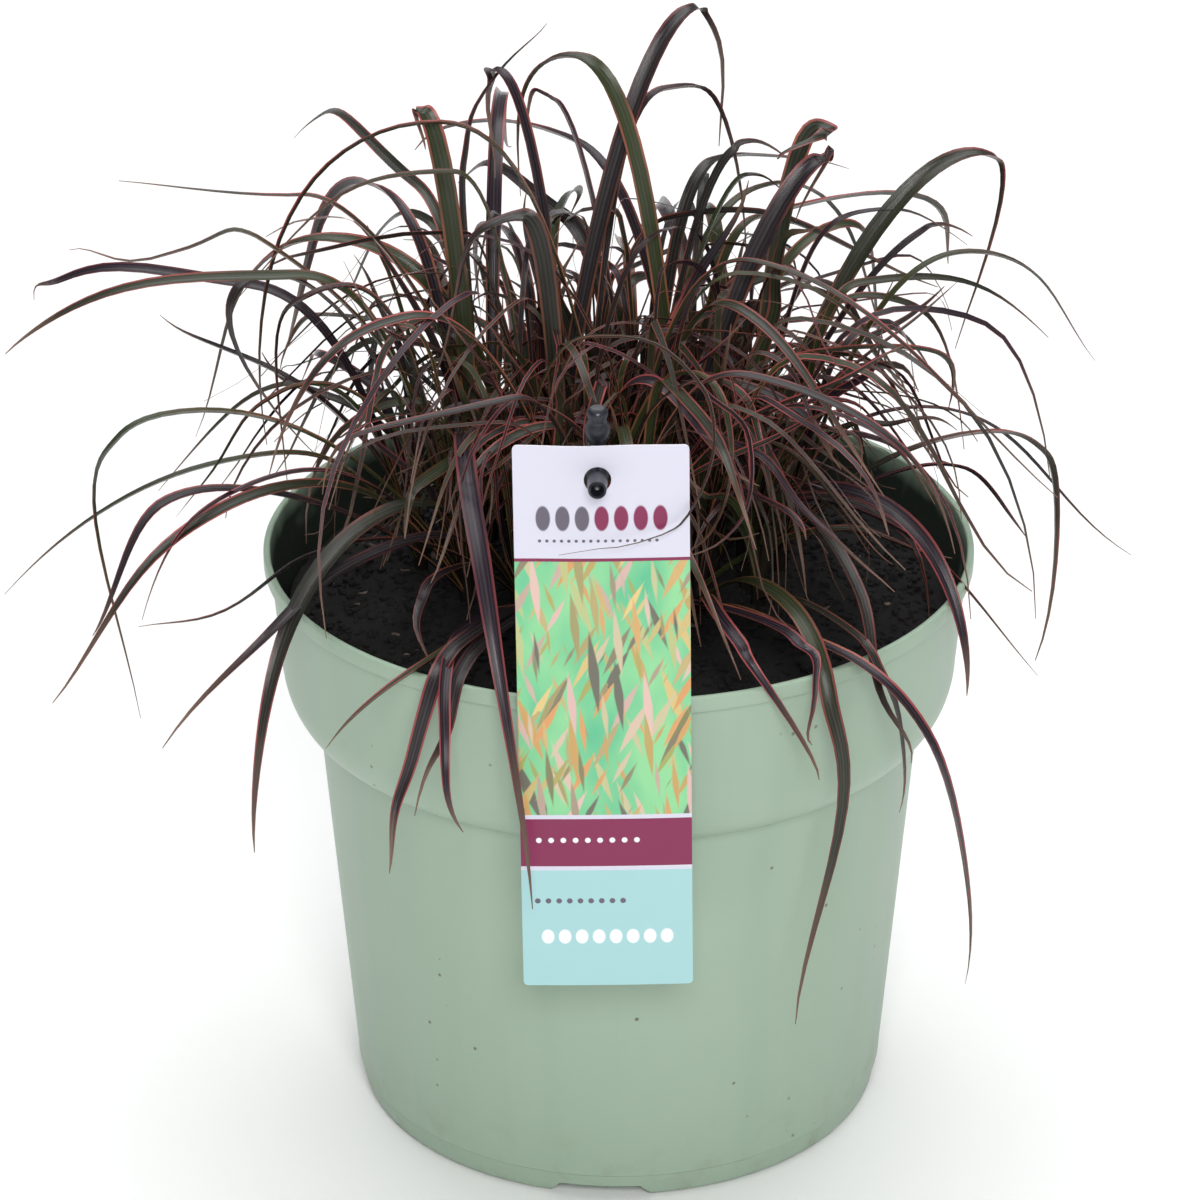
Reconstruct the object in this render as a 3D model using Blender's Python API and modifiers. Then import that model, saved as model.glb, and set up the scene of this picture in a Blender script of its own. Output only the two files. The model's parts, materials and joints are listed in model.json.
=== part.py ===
"""Potted hook sedge: a bronze clump of arching blades in a sage green nursery pot.

The pot stands on the ground at z = 0 with its axis on the world's Z axis. The front of
the plant, where the label hangs, faces -Y. Driving sizes are in millimetres.
"""
import math
import random

import bmesh
import bpy
from mathutils import Matrix, Vector, geometry, noise
from mathutils.bvhtree import BVHTree

MM = 0.001
GAP = 0.3

# Pot: a turned plastic shell with a lip, a collar, a rounded shoulder and a foot ring
RIM_RADIUS = 110.0
POT_HEIGHT = 188.0
LIP_HEIGHT = 5.0
COLLAR_TOP_RADIUS = 107.9
COLLAR_LOW_RADIUS = 105.4
COLLAR_HEIGHT = 36.0
SHOULDER_HEIGHT = 18.0
BODY_TOP_RADIUS = 94.7
BODY_LOW_RADIUS = 84.9
FOOT_BAND_HEIGHT = 8.5
FOOT_RADIUS = 81.0
FOOT_RING_WIDTH = 5.0
WALL = 2.2
FLOOR_UNDERSIDE = 5.0
FLOOR_THICKNESS = 2.5
PAD_RADIUS = 18.0
TURN_STEPS = 36
NOTCH_COUNT = 4
NOTCH_WIDTH = 33.0
NOTCH_TOP_WIDTH = 25.0
NOTCH_HEIGHT = 4.0
NOTCH_ANGLE = -94.0
DRAIN_COUNT = 8
DRAIN_RADIUS = 5.0
DRAIN_CIRCLE = 58.0

# Soil: fills the pot to a little under the rim and rises to a low mound
MOUND_HEIGHT = 174.5
MOUND_RADIUS = 68.0
SOIL_EDGE_HEIGHT = 167.0
SOIL_LUMP = 2.0

# Label and the peg that holds it
LABEL_X = -5.0
LABEL_WIDTH = 50.0
LABEL_LENGTH = 169.0
LABEL_THICKNESS = 0.7
LABEL_CORNER = 2.5
LABEL_HOLE_RADIUS = 3.9
LABEL_HOLE_DROP = 10.0
LABEL_TOP = Vector((LABEL_X, -104.5, 266.5))
LABEL_LEAN = 4.6
PEG_TOP = Vector((-6.0, -98.0, 275.0))
PEG_LEAN = 8.0
PEG_LENGTH = 165.0
PEG_TIP_LENGTH = 10.0
PEG_RADIUS = 2.4
PEG_HEAD_RADIUS = 3.7
PIN_LENGTH = 16.5
PIN_RADII = (3.45, 2.6)

# Crown: the shoots stand in a sunflower pattern inside an ellipse
TUFTS = 40
CROWN = Vector((-4.0, 8.0))
CROWN_REACH = Vector((59.0, 46.0))
GOLDEN_ANGLE = math.radians(137.508)
STEM_RADIUS = 2.5
STEM_TOP_RADIUS = 1.3
STEM_RISE = 20.0
STEM_DEPTH = 9.0
BLADES_PER_TUFT = 5
LONG_BLADES_PER_TUFT = 3

# Blades: three-sided in section, with a flat upper face and a keel below
BLADE_THICKNESS = 0.85
TIP_WIDTH = 0.9
CLEARANCE = 0.35
BEND_SPACING_LENGTH = 48.0
BEND_SPACING_ANGLE = math.radians(48)
SEGMENTS = (5, 10)
PATH_POINTS = 24

# Growing: part of the short blades rises all the way; a blade that crosses another is
# nudged or drawn again; short blades leave the space in front of the label free
RISING_SHARE = 0.3
TURNS = (50, 60)
NUDGES = 150
NUDGE_START = 1.0
NUDGE_STEP = 0.08
TRIES = 120
LABEL_SCREEN = ((LABEL_X - 17, -190, 95), (LABEL_X + 27, -98, 285))

# The long blades that give the clump its outline, placed by eye: about where the foot
# stands, the top of the arch, the tip, how steeply the tip hangs (0 level, 90 straight
# down, below 0 a blade that rises all the way) and the width
LONG_BLADES = [
    ((-22, 10), (22, 45, 345), (25, 50, 300), 95, 5.5),
    ((14, 12), (-14, 33, 338), (-31, 43, 284), 92, 5.2),
    ((-20, 20), (-37, 38, 328), (-33, 34, 292), 105, 4.6),
    ((-42, 15), (-51, 35, 298), (-30, 45, 344), -75, 2.9),
    ((-40, 8), (-58, 18, 324), (-58, 21, 306), 95, 6.1),
    ((-4, 15), (14, 35, 323), (38, 42, 272), 90, 4.6),
    ((10, 20), (-20, 35, 319), (-28, 38, 303), 80, 4.1),
    ((-34, 0), (12, 45, 301), (-12, 11, 252), 135, 4.3),
    ((0, 22), (37, 34, 304), (58, 41, 292), 45, 3.8),
    ((8, 15), (38, 26, 296), (54, 30, 288), 30, 3.5),
    ((-18, -4), (-29, -5, 297), (-58, -16, 243), 50, 6.1),
    ((0, -4), (22, 14, 266), (39, 26, 297), -62, 5.8),
    ((0, 15), (-54, 14, 320), (-109, 9, 214), 98, 4.1),
    ((-30, 18), (-98, 18, 296), (-151, 18, 297), 2, 3.0),
    ((-20, 4), (-50, 3, 308), (-116, -9, 267), 40, 3.2),
    ((-46, 10), (-106, 6, 284), (-166, 4, 274), -8, 3.0),
    ((-44, -2), (-97, -10, 280), (-184, -17, 257), 58, 4.4),
    ((-44, 12), (-108, -8, 280), (-93, -5, 219), 128, 4.1),
    ((-50, -4), (-83, -15, 279), (-101, -17, 212), 90, 4.6),
    ((-46, -6), (-134, -44, 250), (-147, -49, 157), 95, 4.6),
    ((-54, -4), (-108, -16, 224), (-187, -39, 186), 45, 3.7),
    ((-52, -12), (-124, -54, 227), (-153, -72, 190), 85, 4.3),
    ((-50, -14), (-98, -40, 229), (-141, -64, 193), 75, 3.0),
    ((-46, -18), (-100, -48, 224), (-166, -93, 182), 35, 4.1),
    ((-52, -16), (-84, -40, 206), (-137, -91, 196), 8, 3.5),
    ((-44, -20), (-66, -42, 206), (-130, -98, 168), 42, 4.3),
    ((-42, -16), (-68, -38, 216), (-107, -96, 134), 92, 6.2),
    ((-30, -26), (-50, -80, 191), (-85, -122, 178), 28, 4.6),
    ((-26, -28), (-43, -84, 192), (-70, -116, 140), 5, 4.9),
    ((-30, -26), (-46, -86, 192), (-46, -118, 150), 120, 3.8),
    ((-20, -30), (-35, -82, 191), (-53, -121, 152), 60, 4.3),
    ((-30, -18), (-45, -40, 243), (-23, -129, 136), 80, 6.1),
    ((-46, -22), (-56, -50, 198), (-58, -66, 175), 85, 3.5),
    ((-8, -22), (24, -38, 260), (21, -55, 207), 140, 4.3),
    ((22, -28), (42, -62, 198), (67, -101, 84), 92, 5.2),
    ((12, -30), (42, -78, 191), (62, -99, 176), 40, 4.1),
    ((30, -24), (62, -84, 193), (103, -98, 80), 102, 6.1),
    ((20, -32), (36, -72, 191), (57, -101, 164), 55, 4.6),
    ((36, -20), (66, -80, 193), (81, -91, 141), 62, 4.1),
    ((42, 12), (69, 24, 323), (58, 18, 303), 118, 5.8),
    ((22, 0), (61, 22, 305), (54, 20, 286), 110, 6.2),
    ((32, 2), (48, 16, 262), (56, 22, 292), -65, 6.2),
    ((46, 14), (108, 38, 301), (104, 36, 240), 108, 5.5),
    ((50, 16), (124, 42, 299), (126, 41, 231), 112, 4.1),
    ((50, 8), (110, 22, 271), (154, 28, 229), 52, 3.7),
    ((48, 10), (79, 20, 262), (136, 32, 232), 45, 3.4),
    ((44, 6), (74, 11, 258), (105, 13, 220), 82, 3.2),
    ((42, 22), (95, 38, 275), (110, 44, 271), 15, 2.8),
    ((36, 18), (72, 29, 283), (109, 42, 268), 28, 3.0),
    ((52, -2), (112, 3, 226), (133, 3, 149), 104, 4.4),
    ((50, -4), (98, -1, 214), (126, -4, 188), 78, 3.4),
    ((46, 4), (88, 12, 228), (161, 18, 170), 35, 2.8),
    ((44, -8), (58, -12, 213), (119, -44, 153), 45, 3.9),
    ((36, -14), (58, -28, 208), (75, -90, 155), 100, 4.6),
    ((48, -8), (72, -18, 212), (104, -52, 160), 95, 5.5),
    ((50, -10), (64, -8, 206), (96, -18, 172), 90, 4.6),
    ((50, -6), (66, -6, 195), (100, -12, 186), 12, 4.9),
    ((40, 4), (56, 11, 238), (107, 20, 193), 48, 3.4),
    ((44, -4), (62, -6, 238), (83, -9, 220), 60, 3.8),
    ((48, 2), (80, 3, 229), (105, 3, 221), 20, 4.3),
]


def clear_scene():
    """Start from an empty file."""
    for item in list(bpy.data.objects):
        bpy.data.objects.remove(item, do_unlink=True)


def make_material(name, color, roughness, metallic=0.0):
    """One Principled material."""
    material = bpy.data.materials.new(name)
    material.use_nodes = True
    shader = material.node_tree.nodes["Principled BSDF"]
    shader.inputs["Base Color"].default_value = (*color, 1.0)
    shader.inputs["Roughness"].default_value = roughness
    shader.inputs["Metallic"].default_value = metallic
    return material


def add_object(name, mesh, collection, material=None):
    """Put a mesh in the file as a named object."""
    item = bpy.data.objects.new(name, mesh)
    collection.objects.link(item)
    if material:
        mesh.materials.append(material)
    return item


def mesh_from_bmesh(name, shape):
    """Turn a bmesh into a mesh with its faces pointing out."""
    bmesh.ops.recalc_face_normals(shape, faces=shape.faces)
    mesh = bpy.data.meshes.new(name)
    shape.to_mesh(mesh)
    shape.free()
    return mesh


def apply_modifiers(item):
    """Replace an object's mesh with the one its modifiers make."""
    bpy.context.view_layer.update()
    graph = bpy.context.evaluated_depsgraph_get()
    finished = bpy.data.meshes.new_from_object(item.evaluated_get(graph))
    item.modifiers.clear()
    item.data = finished


def turned(name, profile, collection, material, steps=TURN_STEPS):
    """Turn a profile of (radius, height) points about the Z axis."""
    mesh = bpy.data.meshes.new(name)
    points = [(radius * MM, 0.0, height * MM) for radius, height in profile]
    edges = [(i, i + 1) for i in range(len(points) - 1)]
    mesh.from_pydata(points, edges, [])
    item = add_object(name, mesh, collection, material)
    screw = item.modifiers.new("Turn", "SCREW")
    screw.steps = steps
    screw.render_steps = steps
    screw.use_merge_vertices = True
    screw.merge_threshold = 0.00001
    apply_modifiers(item)
    return item


def cut(item, cutter, operation="DIFFERENCE"):
    """Cut an object with another, or join it."""
    boolean = item.modifiers.new("Cut", "BOOLEAN")
    boolean.operation = operation
    boolean.object = cutter
    apply_modifiers(item)


def use_collection(item, collection, operation, solver="MANIFOLD"):
    """Cut an object with every object of a collection, or join them to it."""
    boolean = item.modifiers.new("Combine", "BOOLEAN")
    boolean.operation = operation
    boolean.operand_type = "COLLECTION"
    boolean.collection = collection
    boolean.solver = solver
    apply_modifiers(item)
    for spent in list(collection.objects):
        bpy.data.objects.remove(spent, do_unlink=True)


def hide_cutter(item):
    """Keep a cutter out of the finished model."""
    item.hide_render = True
    item.display_type = "WIRE"


def shoulder_arc(top, height, radius_from, radius_to, count):
    """Points of a quarter ellipse from a vertical wall round to a smaller radius."""
    arc = []
    for i in range(count + 1):
        angle = math.pi / 2 * i / count
        radius = radius_to + (radius_from - radius_to) * math.cos(angle)
        arc.append((radius, top - height * math.sin(angle)))
    return arc


def pot_profile():
    """The pot's wall from the middle of its floor, up inside, over the rim and down."""
    shoulder_top = POT_HEIGHT - COLLAR_HEIGHT
    floor_top = FLOOR_UNDERSIDE + FLOOR_THICKNESS
    ring_inner = FOOT_RADIUS - FOOT_RING_WIDTH
    inside = [(0, floor_top), (BODY_LOW_RADIUS - WALL, floor_top)]
    inner_arc = shoulder_arc(shoulder_top, SHOULDER_HEIGHT, COLLAR_LOW_RADIUS - WALL,
                             BODY_TOP_RADIUS - WALL, 2)
    inside += reversed(inner_arc)
    inside += [(RIM_RADIUS - WALL - 0.6, POT_HEIGHT - 1.0), (RIM_RADIUS - WALL, POT_HEIGHT)]
    outside = [(RIM_RADIUS - 0.7, POT_HEIGHT), (RIM_RADIUS, POT_HEIGHT - 0.9),
               (RIM_RADIUS, POT_HEIGHT - LIP_HEIGHT), (COLLAR_TOP_RADIUS, POT_HEIGHT - LIP_HEIGHT - 0.6)]
    outside += shoulder_arc(shoulder_top, SHOULDER_HEIGHT, COLLAR_LOW_RADIUS, BODY_TOP_RADIUS, 3)
    foot = [(BODY_LOW_RADIUS, FOOT_BAND_HEIGHT), (BODY_LOW_RADIUS - 1.2, 2.5), (FOOT_RADIUS, 0),
            (ring_inner, 0), (ring_inner - 1.0, FLOOR_UNDERSIDE),
            (PAD_RADIUS + 1.0, FLOOR_UNDERSIDE), (PAD_RADIUS, 0), (0, 0)]
    return inside + outside + foot


def make_notch(index, collection):
    """A wedge that cuts one notch in the foot ring."""
    shape = bmesh.new()
    bmesh.ops.create_cube(shape, size=1.0)
    depth = 26.0
    low = NOTCH_HEIGHT + 2.0
    for vertex in shape.verts:
        upper = vertex.co.z > 0
        width = NOTCH_TOP_WIDTH if upper else NOTCH_WIDTH + (NOTCH_WIDTH - NOTCH_TOP_WIDTH) / 2
        height = NOTCH_HEIGHT if upper else NOTCH_HEIGHT - low
        across = math.copysign(width / 2, vertex.co.y)
        outward = FOOT_RADIUS - 2 + math.copysign(depth / 2, vertex.co.x)
        vertex.co = Vector((outward, across, height)) * MM
    item = add_object(f"notch_cutter_{index}", mesh_from_bmesh("notch", shape), collection)
    angle = math.radians(NOTCH_ANGLE + 360 / NOTCH_COUNT * index)
    item.data.transform(Matrix.Rotation(angle, 4, "Z"))
    hide_cutter(item)


def make_drain(index, collection):
    """A round cutter for one drain hole in the floor."""
    angle = math.radians(NOTCH_ANGLE + 360 / DRAIN_COUNT * (index + 0.5))
    place = Vector((math.cos(angle), math.sin(angle), 0)) * DRAIN_CIRCLE * MM
    place.z = (FLOOR_UNDERSIDE + FLOOR_THICKNESS / 2) * MM
    item = add_prism(f"drain_cutter_{index}", DRAIN_RADIUS, DRAIN_RADIUS, 12.0, 8, collection)
    item.data.transform(Matrix.Translation(place))
    hide_cutter(item)


def add_prism(name, low_radius, top_radius, height, sides, collection):
    """A closed prism or cone about the Z axis, centred on the origin."""
    shape = bmesh.new()
    bmesh.ops.create_cone(shape, cap_ends=True, segments=sides, radius1=low_radius * MM,
                          radius2=top_radius * MM, depth=height * MM)
    return add_object(name, mesh_from_bmesh(name, shape), collection)


def make_pot(parts, cutters, material):
    """The turned pot with its foot notches and drain holes."""
    pot = turned("pot", pot_profile(), parts, material)
    for index in range(NOTCH_COUNT):
        make_notch(index, cutters)
    for index in range(DRAIN_COUNT):
        make_drain(index, cutters)
    use_collection(pot, cutters, "DIFFERENCE")
    pot.data.shade_smooth()
    pot.data.set_sharp_from_angle(angle=math.radians(35))
    return pot


def inner_radius(height):
    """The pot's inner radius at a height under the rim, for the soil's side."""
    shoulder_top = POT_HEIGHT - COLLAR_HEIGHT
    shoulder_low = shoulder_top - SHOULDER_HEIGHT
    if height >= shoulder_top:
        return COLLAR_LOW_RADIUS - WALL
    low_wall = BODY_LOW_RADIUS - WALL
    floor_top = FLOOR_UNDERSIDE + FLOOR_THICKNESS
    share = (height - floor_top) / (shoulder_low - floor_top)
    return low_wall + (BODY_TOP_RADIUS - WALL - low_wall) * min(1.0, share)


def make_soil(parts, material):
    """The potting soil, with a flat crown for the shoots and a lumpy slope round it."""
    floor_top = FLOOR_UNDERSIDE + FLOOR_THICKNESS + GAP
    shoulder_top = POT_HEIGHT - COLLAR_HEIGHT
    shoulder_low = shoulder_top - SHOULDER_HEIGHT
    edge = COLLAR_LOW_RADIUS - WALL - GAP * 1.5
    slope = [(MOUND_RADIUS + (edge - MOUND_RADIUS) * i / 3,
              MOUND_HEIGHT + (SOIL_EDGE_HEIGHT - MOUND_HEIGHT) * (i / 3) ** 0.7) for i in range(4)]
    side = [(edge, shoulder_top + 3.0), (inner_radius(shoulder_low) - GAP * 1.5, shoulder_low),
            (inner_radius(floor_top) - GAP * 1.5, floor_top), (0, floor_top)]
    soil = turned("soil", [(0, MOUND_HEIGHT)] + slope + side, parts, material)
    for vertex in soil.data.vertices:
        radius = vertex.co.to_2d().length / MM
        if MOUND_RADIUS + 2 < radius < edge - 1 and vertex.co.z > SOIL_EDGE_HEIGHT * MM:
            vertex.co.z += SOIL_LUMP * MM * noise.noise(vertex.co * 60)
    return soil


def label_frame():
    """Where the label hangs: its face leans on the rim, top inwards."""
    return Matrix.Translation(LABEL_TOP * MM) @ Matrix.Rotation(math.radians(-LABEL_LEAN), 4, "X")


def rounded_corner(centre, start_angle, count=3):
    """Points of a quarter circle round a corner."""
    corner = []
    for i in range(count + 1):
        angle = start_angle + math.pi / 2 * i / count
        corner.append(centre + Vector((math.cos(angle), math.sin(angle))) * LABEL_CORNER)
    return corner


def add_outline(curve, points):
    """A closed polygon in a flat curve."""
    spline = curve.splines.new("POLY")
    spline.points.add(len(points) - 1)
    for knot, point in zip(spline.points, points):
        knot.co = (point.x * MM, point.y * MM, 0, 1)
    spline.use_cyclic_u = True


def make_label(parts, material):
    """The plant label: a stiff card with round corners and a hole for the peg."""
    half = LABEL_WIDTH / 2 - LABEL_CORNER
    low = LABEL_CORNER - LABEL_LENGTH
    centres = [Vector((half, -LABEL_CORNER)), Vector((-half, -LABEL_CORNER)),
               Vector((-half, low)), Vector((half, low))]
    outline = [p for i, c in enumerate(centres) for p in rounded_corner(c, math.pi / 2 * i)]
    hole = [Vector((PEG_TOP.x - LABEL_X + LABEL_HOLE_RADIUS * math.cos(i * math.tau / 16),
                    -LABEL_HOLE_DROP + LABEL_HOLE_RADIUS * math.sin(i * math.tau / 16)))
            for i in range(16)]
    curve = bpy.data.curves.new("label_outline", "CURVE")
    curve.dimensions = "2D"
    curve.fill_mode = "BOTH"
    curve.extrude = LABEL_THICKNESS / 2 * MM
    add_outline(curve, outline)
    add_outline(curve, hole)
    flat = bpy.data.objects.new("label_flat", curve)
    parts.objects.link(flat)
    graph = bpy.context.evaluated_depsgraph_get()
    mesh = bpy.data.meshes.new_from_object(flat.evaluated_get(graph))
    bpy.data.objects.remove(flat, do_unlink=True)
    shape = bmesh.new()
    shape.from_mesh(mesh)
    bmesh.ops.remove_doubles(shape, verts=shape.verts, dist=0.00001)
    bmesh.ops.transform(shape, verts=shape.verts, matrix=Matrix.Rotation(math.pi / 2, 4, "X"))
    bmesh.ops.transform(shape, verts=shape.verts, matrix=label_frame())
    return add_object("label", mesh_from_bmesh("label", shape), parts, material)


def peg_frame():
    """The peg's axis: it leans forward, with its head at the label."""
    return Matrix.Translation(PEG_TOP * MM) @ Matrix.Rotation(math.radians(PEG_LEAN), 4, "X")


def make_peg(parts, cutters, material):
    """The stake with its barrel head, and the pin that the label hangs on."""
    head = [(0, 0), (2.2, 0), (PEG_HEAD_RADIUS, -5), (PEG_HEAD_RADIUS, -8), (PEG_RADIUS, -11)]
    shaft = [(PEG_RADIUS, PEG_TIP_LENGTH - PEG_LENGTH), (0.6, -PEG_LENGTH), (0, -PEG_LENGTH)]
    peg = turned("label_peg", head + shaft, parts, material, steps=12)
    peg.data.transform(peg_frame())
    pin = add_prism("pin", PIN_RADII[0], PIN_RADII[1], PIN_LENGTH, 12, cutters)
    hole = label_frame() @ (Vector((PEG_TOP.x - LABEL_X, 0, -LABEL_HOLE_DROP)) * MM)
    tilt = Matrix.Rotation(math.pi / 2 + math.radians(-LABEL_LEAN), 4, "X")
    middle = hole - Vector((0, 1.0, 0)) * MM
    pin.data.transform(Matrix.Translation(middle) @ tilt)
    cut(peg, pin, "UNION")
    bpy.data.objects.remove(pin, do_unlink=True)
    return peg


def tuft_places():
    """The places of the shoots on the crown, from the middle outwards."""
    places = []
    for index in range(TUFTS):
        share = math.sqrt((index + 0.5) / TUFTS)
        angle = index * GOLDEN_ANGLE
        places.append(Vector((CROWN.x + CROWN_REACH.x * share * math.cos(angle),
                              CROWN.y + CROWN_REACH.y * share * math.sin(angle))))
    return places


def share_out_long_blades(places):
    """Give each long blade to the tuft with room for it that is nearest to its foot."""
    taken = [[] for _ in places]
    for foot, *blade in LONG_BLADES:
        order = sorted(range(len(places)), key=lambda i: (places[i] - Vector(foot)).length)
        tuft = next(i for i in order if len(taken[i]) < LONG_BLADES_PER_TUFT)
        taken[tuft].append(tuple(blade))
    return taken


def short_blade(place, draw):
    """Draw one of the shorter blades that fill the clump."""
    outward = place - CROWN
    spread = 80 - 30 * min(1.0, outward.length / CROWN_REACH.x)
    heading = math.atan2(outward.y, outward.x) + math.radians(draw.gauss(0, spread))
    along = Vector((math.cos(heading), math.sin(heading)))
    rise = draw.triangular(38, 122, 75)
    reach = rise * draw.uniform(0.15, 0.7)
    width = draw.triangular(2.4, 5.6, 3.6)
    if draw.random() < RISING_SHARE:
        top = place + along * reach * 0.4
        end = place + along * reach * 1.3
        apex = (top.x, top.y, MOUND_HEIGHT + rise * 0.6)
        return apex, (end.x, end.y, MOUND_HEIGHT + rise), -draw.uniform(35, 75), width
    beyond = rise * draw.uniform(0.3, 0.9)
    drop = rise * draw.uniform(0.1, 0.9)
    top = place + along * reach
    end = place + along * (reach + beyond)
    apex = (top.x, top.y, MOUND_HEIGHT + rise)
    tip = (end.x, end.y, max(MOUND_HEIGHT + rise - drop, SOIL_EDGE_HEIGHT + 14))
    return apex, tip, draw.uniform(20, 100), width


def nudged(blade, size, draw):
    """The same blade with its arch and tip bent a little aside."""
    apex, tip, hang, width = blade
    apex = tuple(value + draw.uniform(-size, size) for value in apex)
    tip = tuple(value + draw.uniform(-size, size) for value in tip)
    return apex, tip, hang, width


def blade_path(place, blade):
    """Closely spaced points up one arch and down to the tip, in millimetres."""
    apex, tip, hang, _ = blade
    apex, tip = Vector(apex), Vector(tip)
    foot = Vector((place.x, place.y, MOUND_HEIGHT + 2.0))
    heading = (tip - foot).to_2d()
    if heading.length < 1.0:
        heading = (apex - foot).to_2d()
    along = Vector((heading.x, heading.y, 0)).normalized()
    crest = along if hang >= 0 else (tip - foot).normalized()
    climb = (apex - foot).to_2d().length
    chord = (tip - apex).length
    lean = (apex - foot) * 0.28
    rise = geometry.interpolate_bezier(
        foot, foot + Vector((lean.x, lean.y, (apex.z - foot.z) * 0.7)),
        apex - crest * (0.45 * min(climb, 0.7 * chord) + 2.0), apex, PATH_POINTS)
    angle = math.radians(hang)
    down = along * math.cos(angle) - Vector((0, 0, math.sin(angle)))
    fall = geometry.interpolate_bezier(apex, apex + crest * (0.4 * chord + 1.0),
                                       tip - down * (0.38 * chord), tip, PATH_POINTS)
    return rise + fall[1:], along


def spaced_points(points, count):
    """Points along a fine polyline, closer together where it bends more."""
    steps = []
    for i in range(len(points) - 1):
        step = points[i + 1] - points[i]
        before = points[i] - points[i - 1] if i else step
        bend = before.angle(step, 0.0)
        steps.append(step.length / BEND_SPACING_LENGTH + bend / BEND_SPACING_ANGLE)
    total = sum(steps)
    spaced = [points[0]]
    walked, index = 0.0, 0
    for i in range(1, count):
        target = total * i / count
        while walked + steps[index] < target:
            walked += steps[index]
            index += 1
        spaced.append(points[index].lerp(points[index + 1], (target - walked) / steps[index]))
    return spaced + [points[-1]], total


def width_at(share, width):
    """A blade is widest below its middle and tapers to a fine tip."""
    if share < 0.3:
        return width * (0.6 + 1.333 * share)
    if share < 0.6:
        return width
    taper = ((share - 0.6) / 0.4) ** 1.4
    return width + (TIP_WIDTH - width) * taper


def blade_mesh(place, blade, turn, swell=0.0):
    """A closed three-sided blade; swell makes the fatter copy that tests clearance."""
    path, along = blade_path(place, blade)
    wanted = spaced_points(path, 2)[1]
    count = min(SEGMENTS[1], max(SEGMENTS[0], round(wanted)))
    points, _ = spaced_points(path, count)
    side = Vector((-along.y, along.x, 0))
    shape = bmesh.new()
    rings = []
    for i, point in enumerate(points):
        share = i / count
        ahead = points[min(i + 1, count)] - points[max(i - 1, 0)]
        roll = Matrix.Rotation(turn * i / count, 3, ahead.normalized())
        across = roll @ side
        upper = ahead.normalized().cross(across).normalized()
        half = width_at(share, blade[3]) / 2 + swell
        corners = (point + across * half + upper * swell, point - across * half + upper * swell,
                   point - upper * (BLADE_THICKNESS + swell))
        rings.append([shape.verts.new(corner * MM) for corner in corners])
    for low, high in zip(rings, rings[1:]):
        for k in range(3):
            after = (k + 1) % 3
            shape.faces.new((low[k], low[after], high[after]))
            shape.faces.new((low[k], high[after], high[k]))
    shape.faces.new(reversed(rings[0]))
    shape.faces.new(rings[-1])
    return mesh_from_bmesh("blade", shape)


def search_tree(mesh):
    """A search tree of a mesh's faces, with the mesh's box."""
    corners = [vertex.co.copy() for vertex in mesh.vertices]
    faces = [tuple(face.vertices) for face in mesh.polygons]
    low = Vector([min(c[k] for c in corners) for k in range(3)])
    high = Vector([max(c[k] for c in corners) for k in range(3)])
    return BVHTree.FromPolygons(corners, faces), low, high


def crosses(entry, others):
    """Whether a mesh cuts through any of the others."""
    tree, low, high = entry
    for other, other_low, other_high in others:
        apart = any(low[k] > other_high[k] or high[k] < other_low[k] for k in range(3))
        if not apart and tree.overlap(other):
            return True
    return False


def stem_mesh(place):
    """The sheathed foot of one shoot, from inside the soil to where its blades part."""
    shape = bmesh.new()
    height = STEM_DEPTH + STEM_RISE
    bmesh.ops.create_cone(shape, cap_ends=True, segments=5, radius1=STEM_RADIUS * MM,
                          radius2=STEM_TOP_RADIUS * MM, depth=height * MM)
    middle = MOUND_HEIGHT - STEM_DEPTH + height / 2
    bmesh.ops.translate(shape, verts=shape.verts, vec=Vector((place.x, place.y, middle)) * MM)
    return mesh_from_bmesh("stem", shape)


def label_screen():
    """A block of space in front of the label."""
    low, high = (Vector(corner) * MM for corner in LABEL_SCREEN)
    shape = bmesh.new()
    bmesh.ops.create_cube(shape, size=1.0)
    for vertex in shape.verts:
        vertex.co = Vector([high[k] if vertex.co[k] > 0 else low[k] for k in range(3)])
    return mesh_from_bmesh("label_screen", shape)


def grow(places, solid_meshes):
    """Find a clear course for every blade; long ones first, then the short ones."""
    still = [search_tree(mesh) for mesh in solid_meshes]
    stems = [search_tree(stem_mesh(place)) for place in places]
    grown = [[] for _ in places]
    trees = [[] for _ in places]

    def try_blade(tuft, blade, turn, kept_free=()):
        others = still + [*kept_free] + [stems[i] for i in range(len(places)) if i != tuft]
        others += [tree for i in range(len(places)) if i != tuft for tree in trees[i]]
        if crosses(search_tree(blade_mesh(places[tuft], blade, turn, CLEARANCE)), others):
            return False
        grown[tuft].append((blade, turn))
        trees[tuft].append(search_tree(blade_mesh(places[tuft], blade, turn)))
        return True

    for tuft, blades in enumerate(share_out_long_blades(places)):
        for order, blade in enumerate(blades):
            draw = random.Random(1000 + tuft * 10 + order)
            turn = math.radians(draw.uniform(-TURNS[0], TURNS[0]))
            placed = try_blade(tuft, blade, turn)
            for attempt in range(NUDGES):
                if placed:
                    break
                size = NUDGE_START + attempt * NUDGE_STEP
                placed = try_blade(tuft, nudged(blade, size, draw), turn)
    screen = search_tree(label_screen())
    for order in range(BLADES_PER_TUFT):
        for tuft, place in enumerate(places):
            if len(grown[tuft]) > order:
                continue
            draw = random.Random(5000 + tuft * 100 + order)
            for _ in range(TRIES):
                blade = short_blade(place, draw)
                turn = math.radians(draw.uniform(-TURNS[1], TURNS[1]))
                if try_blade(tuft, blade, turn, (screen,)):
                    break
    return grown


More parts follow.
